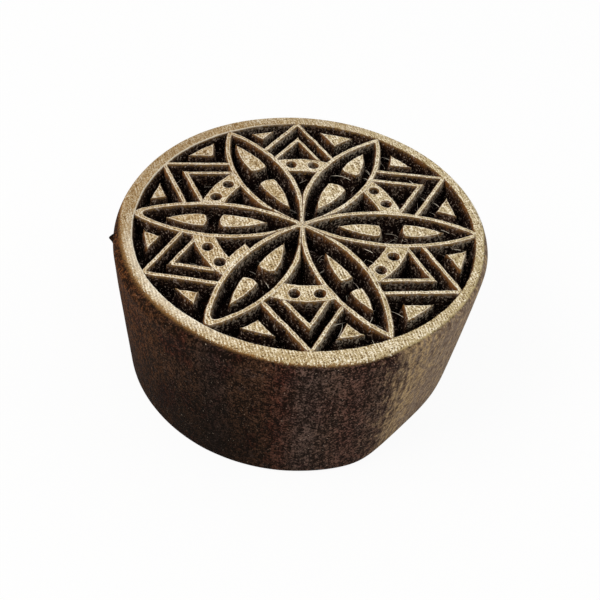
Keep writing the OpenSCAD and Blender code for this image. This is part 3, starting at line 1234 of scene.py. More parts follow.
@dataclass(frozen=True)
class RubbedShoulder:
    """Shoulder of the rim, worn golden brown at the left and pale at the right."""

    gold: tuple = tone(146, 108, 62)
    brown: tuple = tone(70, 48, 30)
    pale: tuple = tone(190, 172, 126)

    def surface(self, wood: WoodTree) -> Surface:
        """Adds the finish to a material.

        Args:
            wood: The material's tree.

        Returns:
            The finish.
        """
        patch = wood.noise(wood.place, scale=0.3)
        grit = wood.noise(wood.place, scale=2.2, rough=0.8)
        gold = wood.blend(wood.step(wood.x + (patch - 0.5) * 20.0, 4.0, 26.0), self.gold, self.pale)
        tint = wood.blend(wood.step(grit * 0.7 + patch * 0.3, 0.44, 0.58), gold, self.brown)
        return Surface(tint, 0.6 + grit * 0.25, grit)


@dataclass(frozen=True)
class BareBack:
    """Plain sawn back of the block, a little stained."""

    light: tuple = tone(146, 118, 82)
    dark: tuple = tone(84, 60, 40)

    def surface(self, wood: WoodTree) -> Surface:
        """Adds the finish to a material.

        Args:
            wood: The material's tree.

        Returns:
            The finish.
        """
        grain = wood.noise(wood.turned(-70.0, (12.0, 1.0, 1.0)), scale=1.2, detail=3.0, rough=0.6)
        grit = wood.noise(wood.place, scale=3.0, detail=3.0, rough=0.7)
        tint = wood.blend(wood.step(grain + (grit - 0.5) * 0.4, 0.35, 0.7), self.light, self.dark)
        return Surface(tint, 0.65 + grit * 0.2, grain + grit * 0.5)


@dataclass(frozen=True)
class Sizes:
    """Main sizes of the block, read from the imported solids, in metres."""

    top: float
    ground: float
    face_r: float
    well_r: float
    well_shift: float
    shoulder_r: float
    shoulder_z: float
    back_r: float

    @staticmethod
    def measure() -> "Sizes":
        """Reads the sizes from the rim and the drum.

        Returns:
            The sizes.
        """
        low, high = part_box("border_ring")
        loops = sorted(face_loops("border_ring"), key=lambda loop: -np.ptp(loop[:, 0]))
        outer, inner = loops
        rim = mesh_points("border_ring")
        reach = np.hypot(rim[:, 0], rim[:, 1])
        drum = mesh_points("block_body")
        drum_reach = np.hypot(drum[:, 0], drum[:, 1])
        foot = drum[:, 2] < FOOT_HEIGHT
        return Sizes(
            top=high.z,
            ground=low.z,
            face_r=float(np.hypot(*outer.T).max()),
            well_r=float(np.ptp(inner[:, 0]) / 2),
            well_shift=float(inner[:, 0].max() + inner[:, 0].min()) / 2,
            shoulder_r=float(reach.max()),
            shoulder_z=float(rim[reach.argmax(), 2]),
            back_r=float(drum_reach[foot].max()),
        )

    def side_r(self, z: float) -> float:
        """Radius of the leaning side at a height."""
        return self.back_r + (self.shoulder_r - self.back_r) * z / self.shoulder_z


def mesh_points(node: str) -> np.ndarray:
    """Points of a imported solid.

    Args:
        node: The solid's name.

    Returns:
        One row of x, y and z for each point, in metres.
    """
    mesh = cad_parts[node].data
    flat = np.empty(len(mesh.vertices) * 3)
    mesh.vertices.foreach_get("co", flat)
    return flat.reshape(-1, 3)


def face_loops(node: str) -> list[np.ndarray]:
    """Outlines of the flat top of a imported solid.

    Args:
        node: The solid's name.

    Returns:
        Closed loops of x and y with the wood on their left, in metres.
    """
    points = mesh_points(node)
    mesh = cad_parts[node].data
    mesh.calc_loop_triangles()
    corners = np.empty(len(mesh.loop_triangles) * 3, int)
    mesh.loop_triangles.foreach_get("vertices", corners)
    corners = corners.reshape(-1, 3)
    level = points[:, 2].max() - FLAT_SLACK
    corners = corners[(points[corners][:, :, 2] > level).all(axis=1)]
    spots, number = np.unique(points[:, :2].round(8), axis=0, return_inverse=True)
    number = number.ravel()
    edges = {(int(number[t[i]]), int(number[t[i - 2]])) for t in corners for i in range(3)}
    follow = {a: b for a, b in edges if (b, a) not in edges}
    loops = []
    while follow:
        start, here = next(iter(follow.items()))
        row = [start]
        del follow[start]
        while here != start:
            row.append(here)
            here = follow.pop(here)
        loops.append(spots[row])
    return loops


def distance_to(points: np.ndarray, loops: Iterable[np.ndarray]) -> np.ndarray:
    """Distance from points to the nearest of some closed loops.

    Args:
        points: Rows of x and y.
        loops: Closed loops.

    Returns:
        One distance for each point.
    """
    best = np.full(len(points), np.inf)
    for loop in loops:
        run = np.roll(loop, -1, axis=0) - loop
        square = (run**2).sum(axis=1) + 1e-18
        off = points[:, None] - loop
        share = np.clip((off * run).sum(axis=2) / square, 0, 1)
        gap = np.linalg.norm(off - share[..., None] * run, axis=2)
        best = np.minimum(best, gap.min(axis=1))
    return best


@dataclass
class Outline:
    """Closed outline of a land's top, as the knife follows it."""

    loops: list[np.ndarray]
    spacing: float = 0.2 * MM
    seat: float = 0.45 * MM
    touch: float = 0.02 * MM
    blunt: float = 1.35
    round_tip: float = 0.0
    passes: int = 110
    least_share: float = 0.04
    shares: tuple = (0.12, 0.22, 0.34, 0.48, 0.64, 0.82, 1.0)
    room: float = 0.93

    def spaced(self, loop: np.ndarray) -> np.ndarray:
        """Adds points to a loop so that none lie further apart than the spacing.

        Args:
            loop: Outline.

        Returns:
            The outline with the points added.
        """
        rows = []
        for a, b in zip(loop, np.roll(loop, -1, axis=0)):
            steps = max(1, math.ceil(np.linalg.norm(b - a) / self.spacing))
            rows.append(a + (b - a) * (np.arange(steps) / steps)[:, None])
        return np.concatenate(rows)

    def seated(self, loop: np.ndarray, hosts: list[np.ndarray]) -> np.ndarray:
        """Runs the stretches that lie on another land on into it.

        Args:
            loop: Spaced outline.
            hosts: Loops of the lands that it runs into.

        Returns:
            The outline with those stretches pushed in.
        """
        if not hosts:
            return loop
        held = distance_to(loop, hosts) < self.touch
        if not held.any() or held.all():
            return loop
        first = int(np.flatnonzero(~held & np.roll(held, -1))[0])
        loop, held = np.roll(loop, -first, axis=0), np.roll(held, -first)
        rows, i, count = [], 0, len(loop)
        while i < count:
            if not held[i]:
                rows.append(loop[i])
                i += 1
                continue
            stop = i
            while stop + 1 < count and held[stop + 1]:
                stop += 1
            rows += self.pushed(loop, i, stop)
            i = stop + 1
        return np.array(rows)

    def pushed(self, loop: np.ndarray, start: int, stop: int) -> list[np.ndarray]:
        """One stretch, from its first to its last point on the other land, pushed in.

        Args:
            loop: Spaced outline.
            start: Place of the stretch's first point.
            stop: Place of its last point.

        Returns:
            The points that take the place of the stretch.
        """
        count = len(loop)
        into_a = loop[start] - loop[start - 1]
        into_b = loop[stop] - loop[(stop + 1) % count]
        into_a = into_a / np.linalg.norm(into_a)
        into_b = into_b / np.linalg.norm(into_b)
        rows = [loop[start]]
        span = max(1, stop - start)
        for i in range(start, stop + 1):
            share = (i - start) / span
            rows.append(loop[i] + self.seat * (into_a * (1 - share) + into_b * share))
        rows.append(loop[stop])
        return rows

    def rounded(self, loop: np.ndarray) -> np.ndarray:
        """Rounds the point furthest from the hub, where the knife took the tip of a petal wide.

        Args:
            loop: Spaced outline.

        Returns:
            The outline with a round tip.
        """
        if not self.round_tip:
            return loop
        tip = loop[np.argmax(np.linalg.norm(loop, axis=1))]
        gap = np.linalg.norm(loop - tip, axis=1)[:, None]
        share = np.clip(2 - 2 * gap / self.round_tip, 0, 1) / 2
        for _ in range(self.passes):
            middle = (np.roll(loop, 1, axis=0) + np.roll(loop, -1, axis=0)) / 2
            loop = loop + share * (middle - loop)
        return loop

    def normals(self, loop: np.ndarray) -> np.ndarray:
        """Directions out of the wood, longer at corners so that walls stay even.

        Args:
            loop: Spaced outline.

        Returns:
            The direction of each point.
        """
        run = np.roll(loop, -1, axis=0) - loop
        run = run / (np.linalg.norm(run, axis=1)[:, None] + 1e-15)
        side = np.stack([run[:, 1], -run[:, 0]], axis=1)
        total = side + np.roll(side, 1, axis=0)
        size = np.linalg.norm(total, axis=1)[:, None] + 1e-9
        mitre = np.minimum(2 / size, self.blunt)
        return total / size * mitre

    def clear(
        self, loop: np.ndarray, loops: list[np.ndarray], way: np.ndarray, reach: float
    ) -> np.ndarray:
        """Shortens directions where two sides of a corner would cross.

        Args:
            loop: The outline.
            loops: All loops of the land.
            way: Direction of each point.
            reach: How far points will move.

        Returns:
            The shortened directions.
        """
        share = np.full(len(loop), self.least_share)
        for trial in self.shares:
            gap = distance_to(loop + way * (trial * reach), loops)
            share = np.where(gap > self.room * trial * reach, trial, share)
        return way * share[:, None]

    def draw(
        self, name: str, hosts: list[np.ndarray], top: float, flare: float, edge: float
    ) -> bpy.types.Mesh:
        """Draws the outline as a mesh of edges, with the ways its walls lean.

        Args:
            name: Name of the mesh.
            hosts: Loops of the lands that it runs into.
            top: Height of the face.
            flare: How far the walls spread.
            edge: Reach of the worn edge.

        Returns:
            The mesh.
        """
        loops = [self.rounded(self.seated(self.spaced(loop), hosts)) for loop in self.loops]
        points, edges, lean, pull = [], [], [], []
        for loop in loops:
            base, count = len(points), len(loop)
            way = self.normals(loop)
            lean += self.clear(loop, loops, way, flare).tolist()
            pull += self.clear(loop, loops, -way, edge).tolist()
            points += [(x, y, top) for x, y in loop]
            edges += [(base + i, base + (i + 1) % count) for i in range(count)]
        mesh = bpy.data.meshes.new(name)
        mesh.from_pydata(points, edges, [])
        for label, rows in zip(STORED, (lean, pull)):
            layer = mesh.attributes.new(label, "FLOAT_VECTOR", "POINT")
            layer.data.foreach_set("vector", [c for x, y in rows for c in (x, y, 0.0)])
        return mesh


def linked(name: str, mesh: bpy.types.Mesh) -> bpy.types.Object:
    """Puts a mesh in the scene as an object.

    Args:
        name: The object's name.
        mesh: Its mesh.

    Returns:
        The object.
    """
    obj = bpy.data.objects.new(name, mesh)
    bpy.context.scene.collection.objects.link(obj)
    return obj


def turn_outwards(obj: bpy.types.Object) -> None:
    """Makes the faces of a closed mesh point outwards and drops stored attributes.

    Args:
        obj: The piece.
    """
    for label in STORED:
        if label in obj.data.attributes:
            obj.data.attributes.remove(obj.data.attributes[label])
    shape = bmesh.new()
    shape.from_mesh(obj.data)
    bmesh.ops.recalc_face_normals(shape, faces=shape.faces)
    if shape.calc_volume(signed=True) < 0:
        bmesh.ops.reverse_faces(shape, faces=shape.faces)
    shape.to_mesh(obj.data)
    shape.free()


def hand_over(obj: bpy.types.Object, slot: Slot, *nodes: str) -> None:
    """Attaches a finished piece to its body and hides the solids it stands for.

    Args:
        obj: The piece.
        slot: Not used.
        nodes: The solids, none for what the scene alone has.
    """
    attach(obj, BODY)
    if nodes:
        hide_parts(*nodes)
    LOG.info("%s: %d faces", obj.name, len(obj.data.polygons))


@dataclass
class Lands:
    """All raised lands inside the rim."""

    sizes: Sizes
    petals: int = 6
    line_flare: float = 0.5 * MM
    island_flare: float = 0.9 * MM
    worn_edge: float = 0.36 * MM
    sink: float = 0.7 * MM
    level_step: float = 0.02 * MM
    petal_step: float = 0.004 * MM
    face_zone: tuple = (0.82, 0.97)
    highlight_share: float = 0.65
    bump: float = 0.6
    sheen: float = 0.05
    carving: LandCarving = field(default_factory=LandCarving)

    def build(self) -> None:
        """Carves and dresses every land."""
        wood = self.wood()
        places = [(kind, k) for kind in LandKind for k in range(self.petals)]
        loops = {(kind, k): face_loops(f"{kind.value}_{k + 1}") for kind, k in places}
        rim = face_loops("border_ring")
        for (kind, k), own in loops.items():
            hosts = [] if kind.stands_alone else list(rim)
            for (other, n), theirs in loops.items():
                runs_in = other.rank < kind.rank or (other is kind is LandKind.PETAL and n != k)
                if runs_in and not kind.stands_alone:
                    hosts += theirs
            self.carve(kind, k, own, hosts, wood)

    def carve(
        self,
        kind: LandKind,
        k: int,
        own: list[np.ndarray],
        hosts: list[np.ndarray],
        wood: bpy.types.Material,
    ) -> None:
        """Carves one land.

        Args:
            kind: Kind of land.
            k: Its number, from 0.
            own: Its outline.
            hosts: Outlines of the lands that it runs into.
            wood: Its material.
        """
        node = f"{kind.value}_{k + 1}"
        flare = self.island_flare if kind.stands_alone else self.line_flare
        top = self.sizes.top - self.level_step * (kind.rank + 1) - self.petal_step * k
        outline = Outline(own, round_tip=ROUND_TIPS.get(node, 0.0))
        mesh = outline.draw(node, hosts, top, flare, self.worn_edge)
        obj = linked(f"carved_{node}", mesh)
        depth = top - self.sizes.ground + self.sink
        values = {"Top": top, "Depth": depth, "Flare": flare, "Worn edge": self.worn_edge}
        self.carving.carve(obj, wood, values)
        turn_outwards(obj)
        hand_over(obj, Slot.LINES, node)

    def wood(self) -> bpy.types.Material:
        """Wood of the lands: bare on top, dark on the walls, with a painted highlight on the worn edges
        of the tops.

        Returns:
            The material.
        """
        wood = WoodTree("land_wood")
        wall = KnifeWall().surface(wood, self.sizes.top / MM)
        grit = wood.noise(wood.place, scale=3.0, rough=0.6)
        face = wood.step(wood.facing_z + (grit - 0.5) * 0.3, *self.face_zone)
        bare = BareFace().surface(wood)
        # Painted highlight: the worn edge of each top goes pale where it turns down from the face.
        edge_highlight = wood.step(wood.facing_z, 0.86, 0.94) * wood.fade(wood.facing_z, 0.97, 0.995)
        bare.colour = wood.blend(edge_highlight * self.highlight_share, bare.colour, BareFace.pale)
        return wood.finish(wall.under(wood, face, bare), self.bump, self.sheen)


def profile_mesh(name: str, points: list[Point]) -> bpy.types.Mesh:
    """A half profile as a row of points.

    Args:
        name: Name of the mesh.
        points: Radius and height of each point, in order.

    Returns:
        The mesh.
    """
    mesh = bpy.data.meshes.new(name)
    edges = [(i, i + 1) for i in range(len(points) - 1)]
    mesh.from_pydata([(r, 0.0, z) for r, z in points], edges, [])
    return mesh


def stretch(start: Point, end: Point, steps: int) -> list[Point]:
    """Points of a straight stretch of profile, without its end.

    Args:
        start: First point.
        end: Point after the last.
        steps: Number of points.

    Returns:
        The points.
    """
    return [
        (start[0] + (end[0] - start[0]) * i / steps, start[1] + (end[1] - start[1]) * i / steps)
        for i in range(steps)
    ]


@dataclass(frozen=True)
class Flat:
    """Flat pared off the foot of the side."""

    turn: float
    depth: float


@dataclass(frozen=True)
class Flats:
    """The flats pared off the side, which run out just under the carved ground."""

    stop: float = 0.5 * MM
    flats: tuple = (Flat(-39.0, 3.2 * MM), Flat(-22.0, 1.9 * MM))

    def values(self, sizes: Sizes) -> dict[str, float]:
        """Values of a turned piece's inputs.

        Args:
            sizes: Sizes of the block.

        Returns:
            Direction, reach at the back and slope of each flat.
        """
        values = {}
        stop = sizes.ground - self.stop
        for number, flat in enumerate(self.flats, start=1):
            reach = sizes.back_r - flat.depth
            values[f"Flat {number} turn"] = math.radians(flat.turn)
            values[f"Flat {number} reach"] = reach
            values[f"Flat {number} slope"] = (sizes.side_r(stop) - reach) / stop
        return values


@dataclass(frozen=True)
class Blemish:
    """Lump, dent or worn stretch at one place of the shoulder."""

    name: str
    turn: float
    reach: float
    height: float
    width: float
    rise: float
    squat: float = 0.5
    stained: bool = True
    stain_zone: tuple = (0.5, 1.1)

    @property
    def place(self) -> tuple[float, float, float]:
        """Where it sits, in metres."""
        across = math.radians(self.turn)
        return self.reach * math.cos(across), self.reach * math.sin(across), self.height

    def values(self) -> dict[str, float]:
        """Values of a turned piece's inputs."""
        row = (*self.place, self.width, self.rise, self.squat)
        return {f"{self.name} {part}": value for part, value in zip(TurnedCarving.blemish_parts, row)}

    def share(self, wood: WoodTree) -> Signal:
        """Share of the stain that fills the blemish.

        Args:
            wood: The material's tree.

        Returns:
            The share.
        """
        x, y, z = (part / MM for part in self.place)
        gap = wood.node(
            "ShaderNodeVectorMath",
            {"operation": "DISTANCE"},
            {0: wood.place * (1.0, 1.0, self.squat), 1: (x, y, z * self.squat)},
            "Value",
        )
        width = self.width / MM
        start, end = self.stain_zone
        return wood.fade(gap, start * width, end * width)


BLEMISHES = (
    Blemish("Nub", -168.0, 37.7 * MM, 33.4 * MM, 0.8 * MM, 0.9 * MM),
    Blemish("Dent", -18.5, 38.0 * MM, 32.6 * MM, 0.6 * MM, -0.6 * MM),
    Blemish("Wear", 170.0, 38.0 * MM, 35.0 * MM, 30.0 * MM, -0.55 * MM, squat=2.0, stained=False),
)


@dataclass
class TurnedPiece:
    """A piece that is turned about the block's axis."""

    sizes: Sizes
    name: str
    node: str
    slot: Slot
    turns: int

    def profile(self) -> list[Point]:
        """Half profile, as the radius and height of each point."""
        raise NotImplementedError

    def values(self) -> dict[str, float]:
        """Values of the carving's inputs that are the piece's own."""
        raise NotImplementedError

    def wood(self) -> bpy.types.Material:
        """Wood of the piece."""
        raise NotImplementedError

    def build(self) -> bpy.types.Object:
        """Carves and dresses the piece.

        Returns:
            The piece.
        """
        obj = linked(self.name, profile_mesh(self.node, self.profile()))
        values = self.values() | Flats().values(self.sizes)
        for blemish in BLEMISHES:
            values |= blemish.values()
        TurnedCarving(self.turns).carve(obj, self.wood(), values)
        turn_outwards(obj)
        hand_over(obj, self.slot, self.node)
        return obj


class RimWood(WoodTree):
    """Wood of the rim: bare face, dark well, a shoulder rubbed golden over the stained side and a
    painted highlight on the inner edge at the left.
    """

    bump: float = 0.6
    sheen: float = 0.03
    strip_zone: tuple = (0.9, 1.2)
    highlight_zone: tuple = (1.2, 1.6)
    highlight_share: float = 0.5
    scraped_zone: tuple = (0.9, 1.9)
    scraped_share: float = 0.34
    worn_inset: float = 0.65
    worn_soft: float = 0.15
    grime_share: float = 0.5

    def __init__(self, sizes: Sizes) -> None:
        """Makes the material with the places and noises that its wear follows.

        Args:
            sizes: Sizes of the block.
        """
        super().__init__("rim_wood")
        self.top = sizes.top / MM
        self.well_r = sizes.well_r / MM
        self.reach = self.radius(self.x, self.y)
        self.along = self.reach + (self.top - self.z) * 0.6
        self.grit = self.noise(self.place, scale=2.2, detail=3.0, rough=0.7)
        self.drift = self.noise(self.place, scale=0.3)
        self.worn_to = self.wear() + (sizes.face_r / MM - self.worn_inset) + self.ragged(2.4, 1.0)
        start, end = self.strip_zone
        self.outer = self.step(self.reach - self.x * 0.013, self.well_r + start, self.well_r + end)

    def ragged(self, fine: float, slow: float) -> Signal:
        """Noise about none, from the grit and the drift by their weights."""
        return (self.grit - 0.5) * fine + (self.drift - 0.5) * slow

    def wear(self) -> Signal:
        """How much further the face is worn bare over the shoulder at the right and behind.

        Returns:
            The distance, in millimetres.
        """
        right = self.step(self.x, -26.0, 16.0) * 1.7 - self.step(self.x, 10.0, 30.0) * 0.9
        return self.math("MAXIMUM", right, self.step(self.y, -8.0, 6.0) * 1.7)

    def sides(self) -> Surface:
        """Cut wall of the well, and the shoulder rubbed golden over the stained side.

        Returns:
            The finish of both.
        """
        soft = 0.45 + self.step(-self.x, 0.0, 25.0) * 0.5
        stain = self.step(self.along, self.worn_to + 0.2, self.worn_to + 0.2 + soft)
        rubbed = RubbedShoulder().surface(self).under(self, stain, StainedSide().surface(self))
        return KnifeWall().surface(self, self.top).under(self, self.outer, rubbed)

    def face(self) -> Surface:
        """Bare face, grimy at the far left where hands have held it.

        Returns:
            The finish.
        """
        face = BareFace().surface(self)
        handled = self.step(self.y * 0.8 - self.x * 0.6, 0.0, 30.0)
        grime = self.step(self.grit * 0.7 + self.drift * 0.3, 0.44, 0.58)
        face.colour = self.blend(handled * grime * self.grime_share, face.colour, BareFace.aged)
        return face

    def edge_highlight(self) -> Signal:
        """Share of the painted highlight along the inner edge, at the left.

        Returns:
            The share.
        """
        start, end = self.highlight_zone
        inner = self.fade(self.reach, self.well_r + start, self.well_r + end)
        edge = self.step(self.facing_z, 0.3, 0.6) * self.fade(self.facing_z, 0.95, 0.995) * inner
        return edge * self.step(-self.x, 0.0, 20.0) * self.highlight_share

    def scraped(self) -> Signal:
        """Share of the pale patch that is scraped along the inner edge, at the near left.

        Returns:
            The share.
        """
        start, end = self.scraped_zone
        uneven = self.reach + (self.grit - 0.5) * 4.0
        share = self.fade(uneven, self.well_r + start, self.well_r + end)
        share = share * self.step(self.facing_z, 0.5, 0.8)
        near_left = self.step(-self.x, 6.0, 22.0) * self.step(-self.y, 2.0, 14.0)
        return share * near_left * self.scraped_share

    def dress(self) -> bpy.types.Material:
        """Puts the finishes together.

        Returns:
            The material.
        """
        up = self.step(self.facing_z + self.ragged(0.7, 0.3) + self.outer * 0.3, 0.7, 0.8)
        bare = up * self.fade(self.along, self.worn_to - self.worn_soft, self.worn_to + self.worn_soft)
        dressed = self.sides().under(self, bare, self.face())
        # The painted highlight on the inner edge and the pale scraped patch.
        for share in (self.edge_highlight(), self.scraped()):
            dressed.colour = self.blend(share, dressed.colour, BareFace.pale)
        for blemish in BLEMISHES:
            if blemish.stained:
                dressed.colour = self.blend(blemish.share(self), dressed.colour, StainedSide.black)
        return self.finish(dressed, self.bump, self.sheen)


@dataclass
class Rim(TurnedPiece):
    """Plain rim with the block's rounded shoulder."""

    name: str = "carved_border_ring"
    node: str = "border_ring"
    slot: Slot = Slot.LINES
    turns: int = 900
    flare: float = 0.5 * MM
    worn_edge: float = 0.28 * MM
    edge_round: tuple = (0.35, 0.25)
    soft_edge: float = 0.45 * MM
    soft_round: tuple = (0.5, 0.05)
    shoulder_start: float = 0.97
    sink: float = 0.7 * MM
    tuck: float = 0.4 * MM
    stray: float = 0.3 * MM
    ragged: float = 0.26 * MM
    drawn_out: float = 0.55 * MM
    stray_reach: float = 0.6 * MM
    well_reach: float = 0.3 * MM
    wall_steps: int = 14
    face_steps: int = 8
    shoulder_steps: int = 9
    side_steps: int = 4

    def profile(self) -> list[Point]:
        """Half profile, up the well, over the face and down the shoulder.

        Returns:
            Radius and height of each point.
        """
        s, worn = self.sizes, self.worn_edge
        foot = s.ground - self.sink
        inner_foot = s.well_r - self.flare
        points = stretch((inner_foot, foot), (s.well_r, s.top - worn), self.wall_steps)
        out, down = self.edge_round
        points += [(s.well_r, s.top - worn), (s.well_r + out * worn, s.top - down * worn)]
        edge = s.face_r - self.soft_edge
        points += stretch((s.well_r + worn, s.top), (edge, s.top), self.face_steps)
        points += self.shoulder(edge)
        low = s.ground
        points += stretch((s.shoulder_r, s.shoulder_z), (s.side_r(low), low), self.side_steps)
        tucked = s.side_r(low) - self.tuck
        points += [(s.side_r(low), low), (tucked, low), (tucked, foot), (inner_foot, foot)]
        return points

    def shoulder(self, edge: float) -> list[Point]:
        """Rounded shoulder from the face's soft edge to its widest place.

        Args:
            edge: Radius at which the face starts to round off.

        Returns:
            The points.
        """
        s = self.sizes
        out, drop = s.shoulder_r - s.face_r, s.top - s.shoulder_z
        arc = (out**2 + drop**2) / (2 * out)
        steep = math.asin(drop / arc)
        centre = s.shoulder_r - arc
        ahead, down = self.soft_round
        points = [(edge, s.top), (edge + ahead * self.soft_edge, s.top - down * self.soft_edge)]
        for i in range(self.shoulder_steps):
            a = steep * self.shoulder_start * (1 - i / self.shoulder_steps)
            points.append((centre + arc * math.cos(a), s.shoulder_z + arc * math.sin(a)))
        return points

    def values(self) -> dict[str, float]:
        """Stray of the knife round the well, and the well's place.

        Returns:
            Values of the carving's inputs.
        """
        s = self.sizes
        return {
            "Stray": self.stray,
            "Ragged": self.ragged,
            "Drawn out": self.drawn_out,
            "Stray reach": s.well_r + self.stray_reach,
            "Well shift": s.well_shift,
            "Well reach": s.well_r + self.well_reach,
        }

    def wood(self) -> bpy.types.Material:
        """Wood of the rim."""
        return RimWood(self.sizes).dress()


@dataclass
class Drum(TurnedPiece):
    """Turned drum with its carved ground, pared flats and plain back."""

    name: str = "turned_block_body"
    node: str = "block_body"
    slot: Slot = Slot.DRUM
    turns: int = 480
    back_round: float = 1.2 * MM
    gouge: float = 0.5 * MM
    gouge_reach: float = 0.6 * MM
    ground_steps: int = 100
    side_steps: int = 44
    round_steps: int = 6
    back_steps: int = 12
    ground_facing: tuple = (0.3, 0.6)
    back_facing: tuple = (0.5, 0.9)
    bump: float = 0.9
    sheen: float = 0.02

    def profile(self) -> list[Point]:
        """Half profile from the middle of the ground to the middle of the back.

        Returns:
            Radius and height of each point.
        """
        s, r = self.sizes, self.back_round
        rim, foot = s.side_r(s.ground), s.side_r(r)
        points = stretch((0.0, s.ground), (rim, s.ground), self.ground_steps)
        points += stretch((rim, s.ground), (foot, r), self.side_steps)
        for i in range(self.round_steps):
            a = math.radians(90 * i / self.round_steps)
            points.append((foot - r * (1 - math.cos(a)), r * (1 - math.sin(a))))
        points += stretch((foot - r, 0.0), (0.0, 0.0), self.back_steps)
        points.append((0.0, 0.0))
        return points

    def values(self) -> dict[str, float]:
        """Depth, level and reach of the gouge.

        Returns:
            Values of the carving's inputs.
        """
        s = self.sizes
        reach = s.well_r + s.well_shift + self.gouge_reach
        return {"Gouge": self.gouge, "Gouge level": s.ground, "Gouge reach": reach}

    def wood(self) -> bpy.types.Material:
        """Wood of the drum: dark ground, mottled side and plain back.

        Returns:
            The material.
        """
        wood = WoodTree("drum_wood")
        up = wood.step(wood.facing_z, *self.ground_facing)
        down = wood.step(-wood.facing_z, *self.back_facing)
        dressed = StainedSide().surface(wood).under(wood, up, CarvedGround().surface(wood))
        return wood.finish(dressed.under(wood, down, BareBack().surface(wood)), self.bump, self.sheen)


@dataclass
class Fibres:
    """Loose fibres on the carved ground."""

    sizes: Sizes
    inset: float = 1.0 * MM
    colour: tuple = tone(240, 232, 216)
    shade: tuple = tone(150, 128, 98)
    shade_share: float = 0.5
    bump: float = 0.1
    sheen: float = 0.2

    def build(self, drum: bpy.types.Object) -> None:
        """Scatters the fibres.

        Args:
            drum: The finished drum.
        """
        obj = linked("wood_fibres", drum.data.copy())
        s = self.sizes
        values = {"Level": s.ground, "Top": s.top, "Reach": s.well_r - self.inset}
        FibreCarving().carve(obj, self.wood(), values)
        hand_over(obj, Slot.LINES)

    def wood(self) -> bpy.types.Material:
        """Pale wood of a torn fibre.

        Returns:
            The material.
        """
        wood = WoodTree("fibre_wood")
        grit = wood.noise(wood.place, scale=1.0)
        tint = wood.blend(grit * self.shade_share, self.colour, self.shade)
        return wood.finish(Surface(tint, 0.7 + grit * 0.1, grit), self.bump, self.sheen)


@dataclass(frozen=True)
class View:
    """Camera that sees the block as the photograph does."""

    elevation: float = 46.0843
    roll: float = 5.1312
    distance: float = 4.681
    focus: float = 846.867
    shift_right: float = -0.0124
    shift_up: float = -0.4334
    sensor: float = 36.0
    near: float = 0.01
    far: float = 10.0

    def build(self, sizes: Sizes) -> None:
        """Makes the camera.

        Args:
            sizes: Sizes of the block: the camera's place is in radii of the face from its centre.
        """
        tilt, roll = math.radians(self.elevation), math.radians(self.roll)
        back = Vector((0.0, -math.cos(tilt), math.sin(tilt)))
        level = Vector((1.0, 0.0, 0.0))
        rise = back.cross(level)
        right = math.cos(roll) * level + math.sin(roll) * rise
        up = math.cos(roll) * rise - math.sin(roll) * level
        centre = Vector((0.0, 0.0, sizes.top))
        offset = back * self.distance + right * self.shift_right + up * self.shift_up
        data = bpy.data.cameras.new("photo_camera")
        data.sensor_width = self.sensor
        data.lens = self.focus / PHOTO_SIDE * self.sensor
        data.clip_start, data.clip_end = self.near, self.far
        camera = bpy.data.objects.new("photo_camera", data)
        turn = Matrix((right, up, back)).transposed().to_4x4()
        camera.matrix_world = Matrix.Translation(centre + offset * sizes.face_r) @ turn
        bpy.context.scene.collection.objects.link(camera)
        bpy.context.scene.camera = camera


@dataclass(frozen=True)
class Lamp:
    """Soft square lamp that looks at the block."""

    name: str
    place: tuple[float, float, float]
    watts: float
    colour: tuple[float, float, float]
    size: float = 0.35

    def build(self) -> None:
        """Makes the lamp."""
        data = bpy.data.lights.new(self.name, "AREA")
        data.energy, data.color, data.size = self.watts, self.colour, self.size
        lamp = bpy.data.objects.new(self.name, data)
        lamp.location = self.place
        lamp.rotation_mode = "QUATERNION"
        lamp.rotation_quaternion = (-Vector(self.place)).to_track_quat("-Z", "Y")
        bpy.context.scene.collection.objects.link(lamp)


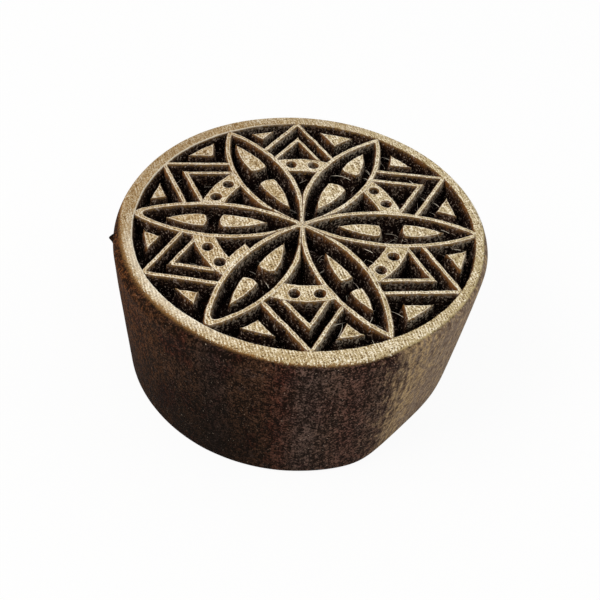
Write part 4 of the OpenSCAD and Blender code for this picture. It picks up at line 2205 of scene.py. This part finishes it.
@dataclass(frozen=True)
class Studio:
    """Pale floor, soft lamps and a white surround."""

    floor_half: float = 3.0
    floor_level: float = 0.02 * MM
    floor_colour: tuple = (0.86, 0.86, 0.86, 1.0)
    floor_glow: float = 0.93
    white: tuple = (1.0, 1.0, 1.0, 1.0)
    ambient: float = 0.62
    lamps: tuple = (
        Lamp("key", (-0.42, -0.16, 0.52), 2.2, (1.0, 0.95, 0.87)),
        Lamp("fill", (0.5, 0.04, 0.3), 0.7, (0.94, 1.0, 0.95)),
    )

    def build(self) -> None:
        """Makes the floor, the lamps and the world."""
        bpy.context.scene.view_settings.view_transform = "Standard"
        self.floor()
        for lamp in self.lamps:
            lamp.build()
        self.world()

    def floor(self) -> None:
        """Pale floor that keeps the block's shadow and looks white."""
        h, z = self.floor_half, self.floor_level
        mesh = bpy.data.meshes.new("floor")
        mesh.from_pydata([(-h, -h, z), (h, -h, z), (h, h, z), (-h, h, z)], [], [(0, 1, 2, 3)])
        floor = linked("floor", mesh)
        material = bpy.data.materials.new("pale_floor")
        graph = Graph(empty_tree(material))
        paint = graph.node("ShaderNodeBsdfDiffuse", feeds={"Color": self.floor_colour})
        glow = graph.node("ShaderNodeEmission", feeds={"Strength": 1.0})
        share = self.seen(graph) * self.floor_glow
        mixed = graph.node("ShaderNodeMixShader", feeds={0: share, 1: paint, 2: glow})
        graph.end("ShaderNodeOutputMaterial", mixed)
        mesh.materials.append(material)

    @staticmethod
    def seen(graph: Graph) -> Signal:
        """Tells what the camera sees, straight, in a reflection or through glass.

        Args:
            graph: The tree of the floor or the world.

        Returns:
            1 for what is seen, 0 for what only lights.
        """
        path = graph.node("ShaderNodeLightPath", out="Is Camera Ray")
        bright = graph.math("MAXIMUM", path, path.out("Is Glossy Ray"))
        return graph.math("MAXIMUM", bright, path.out("Is Transmission Ray"))

    def world(self) -> None:
        """Even surround that looks white and lights softly."""
        world = bpy.data.worlds.new("surround")
        graph = Graph(empty_tree(world))
        strength = graph.between(self.seen(graph), self.ambient, 1.0)
        light = graph.node("ShaderNodeBackground", feeds={"Color": self.white, "Strength": strength})
        graph.end("ShaderNodeOutputWorld", light)
        bpy.context.scene.world = world


def main() -> None:
    """Builds the block, its camera and its studio."""
    logging.basicConfig(level=logging.INFO, format="%(name)s %(message)s")
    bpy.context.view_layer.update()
    sizes = Sizes.measure()
    LOG.info("sizes %s", sizes)
    View().build(sizes)
    Studio().build()
    drum = Drum(sizes).build()
    Rim(sizes).build()
    Lands(sizes).build()
    Fibres(sizes).build(drum)


if __name__ == "__main__":
    main()
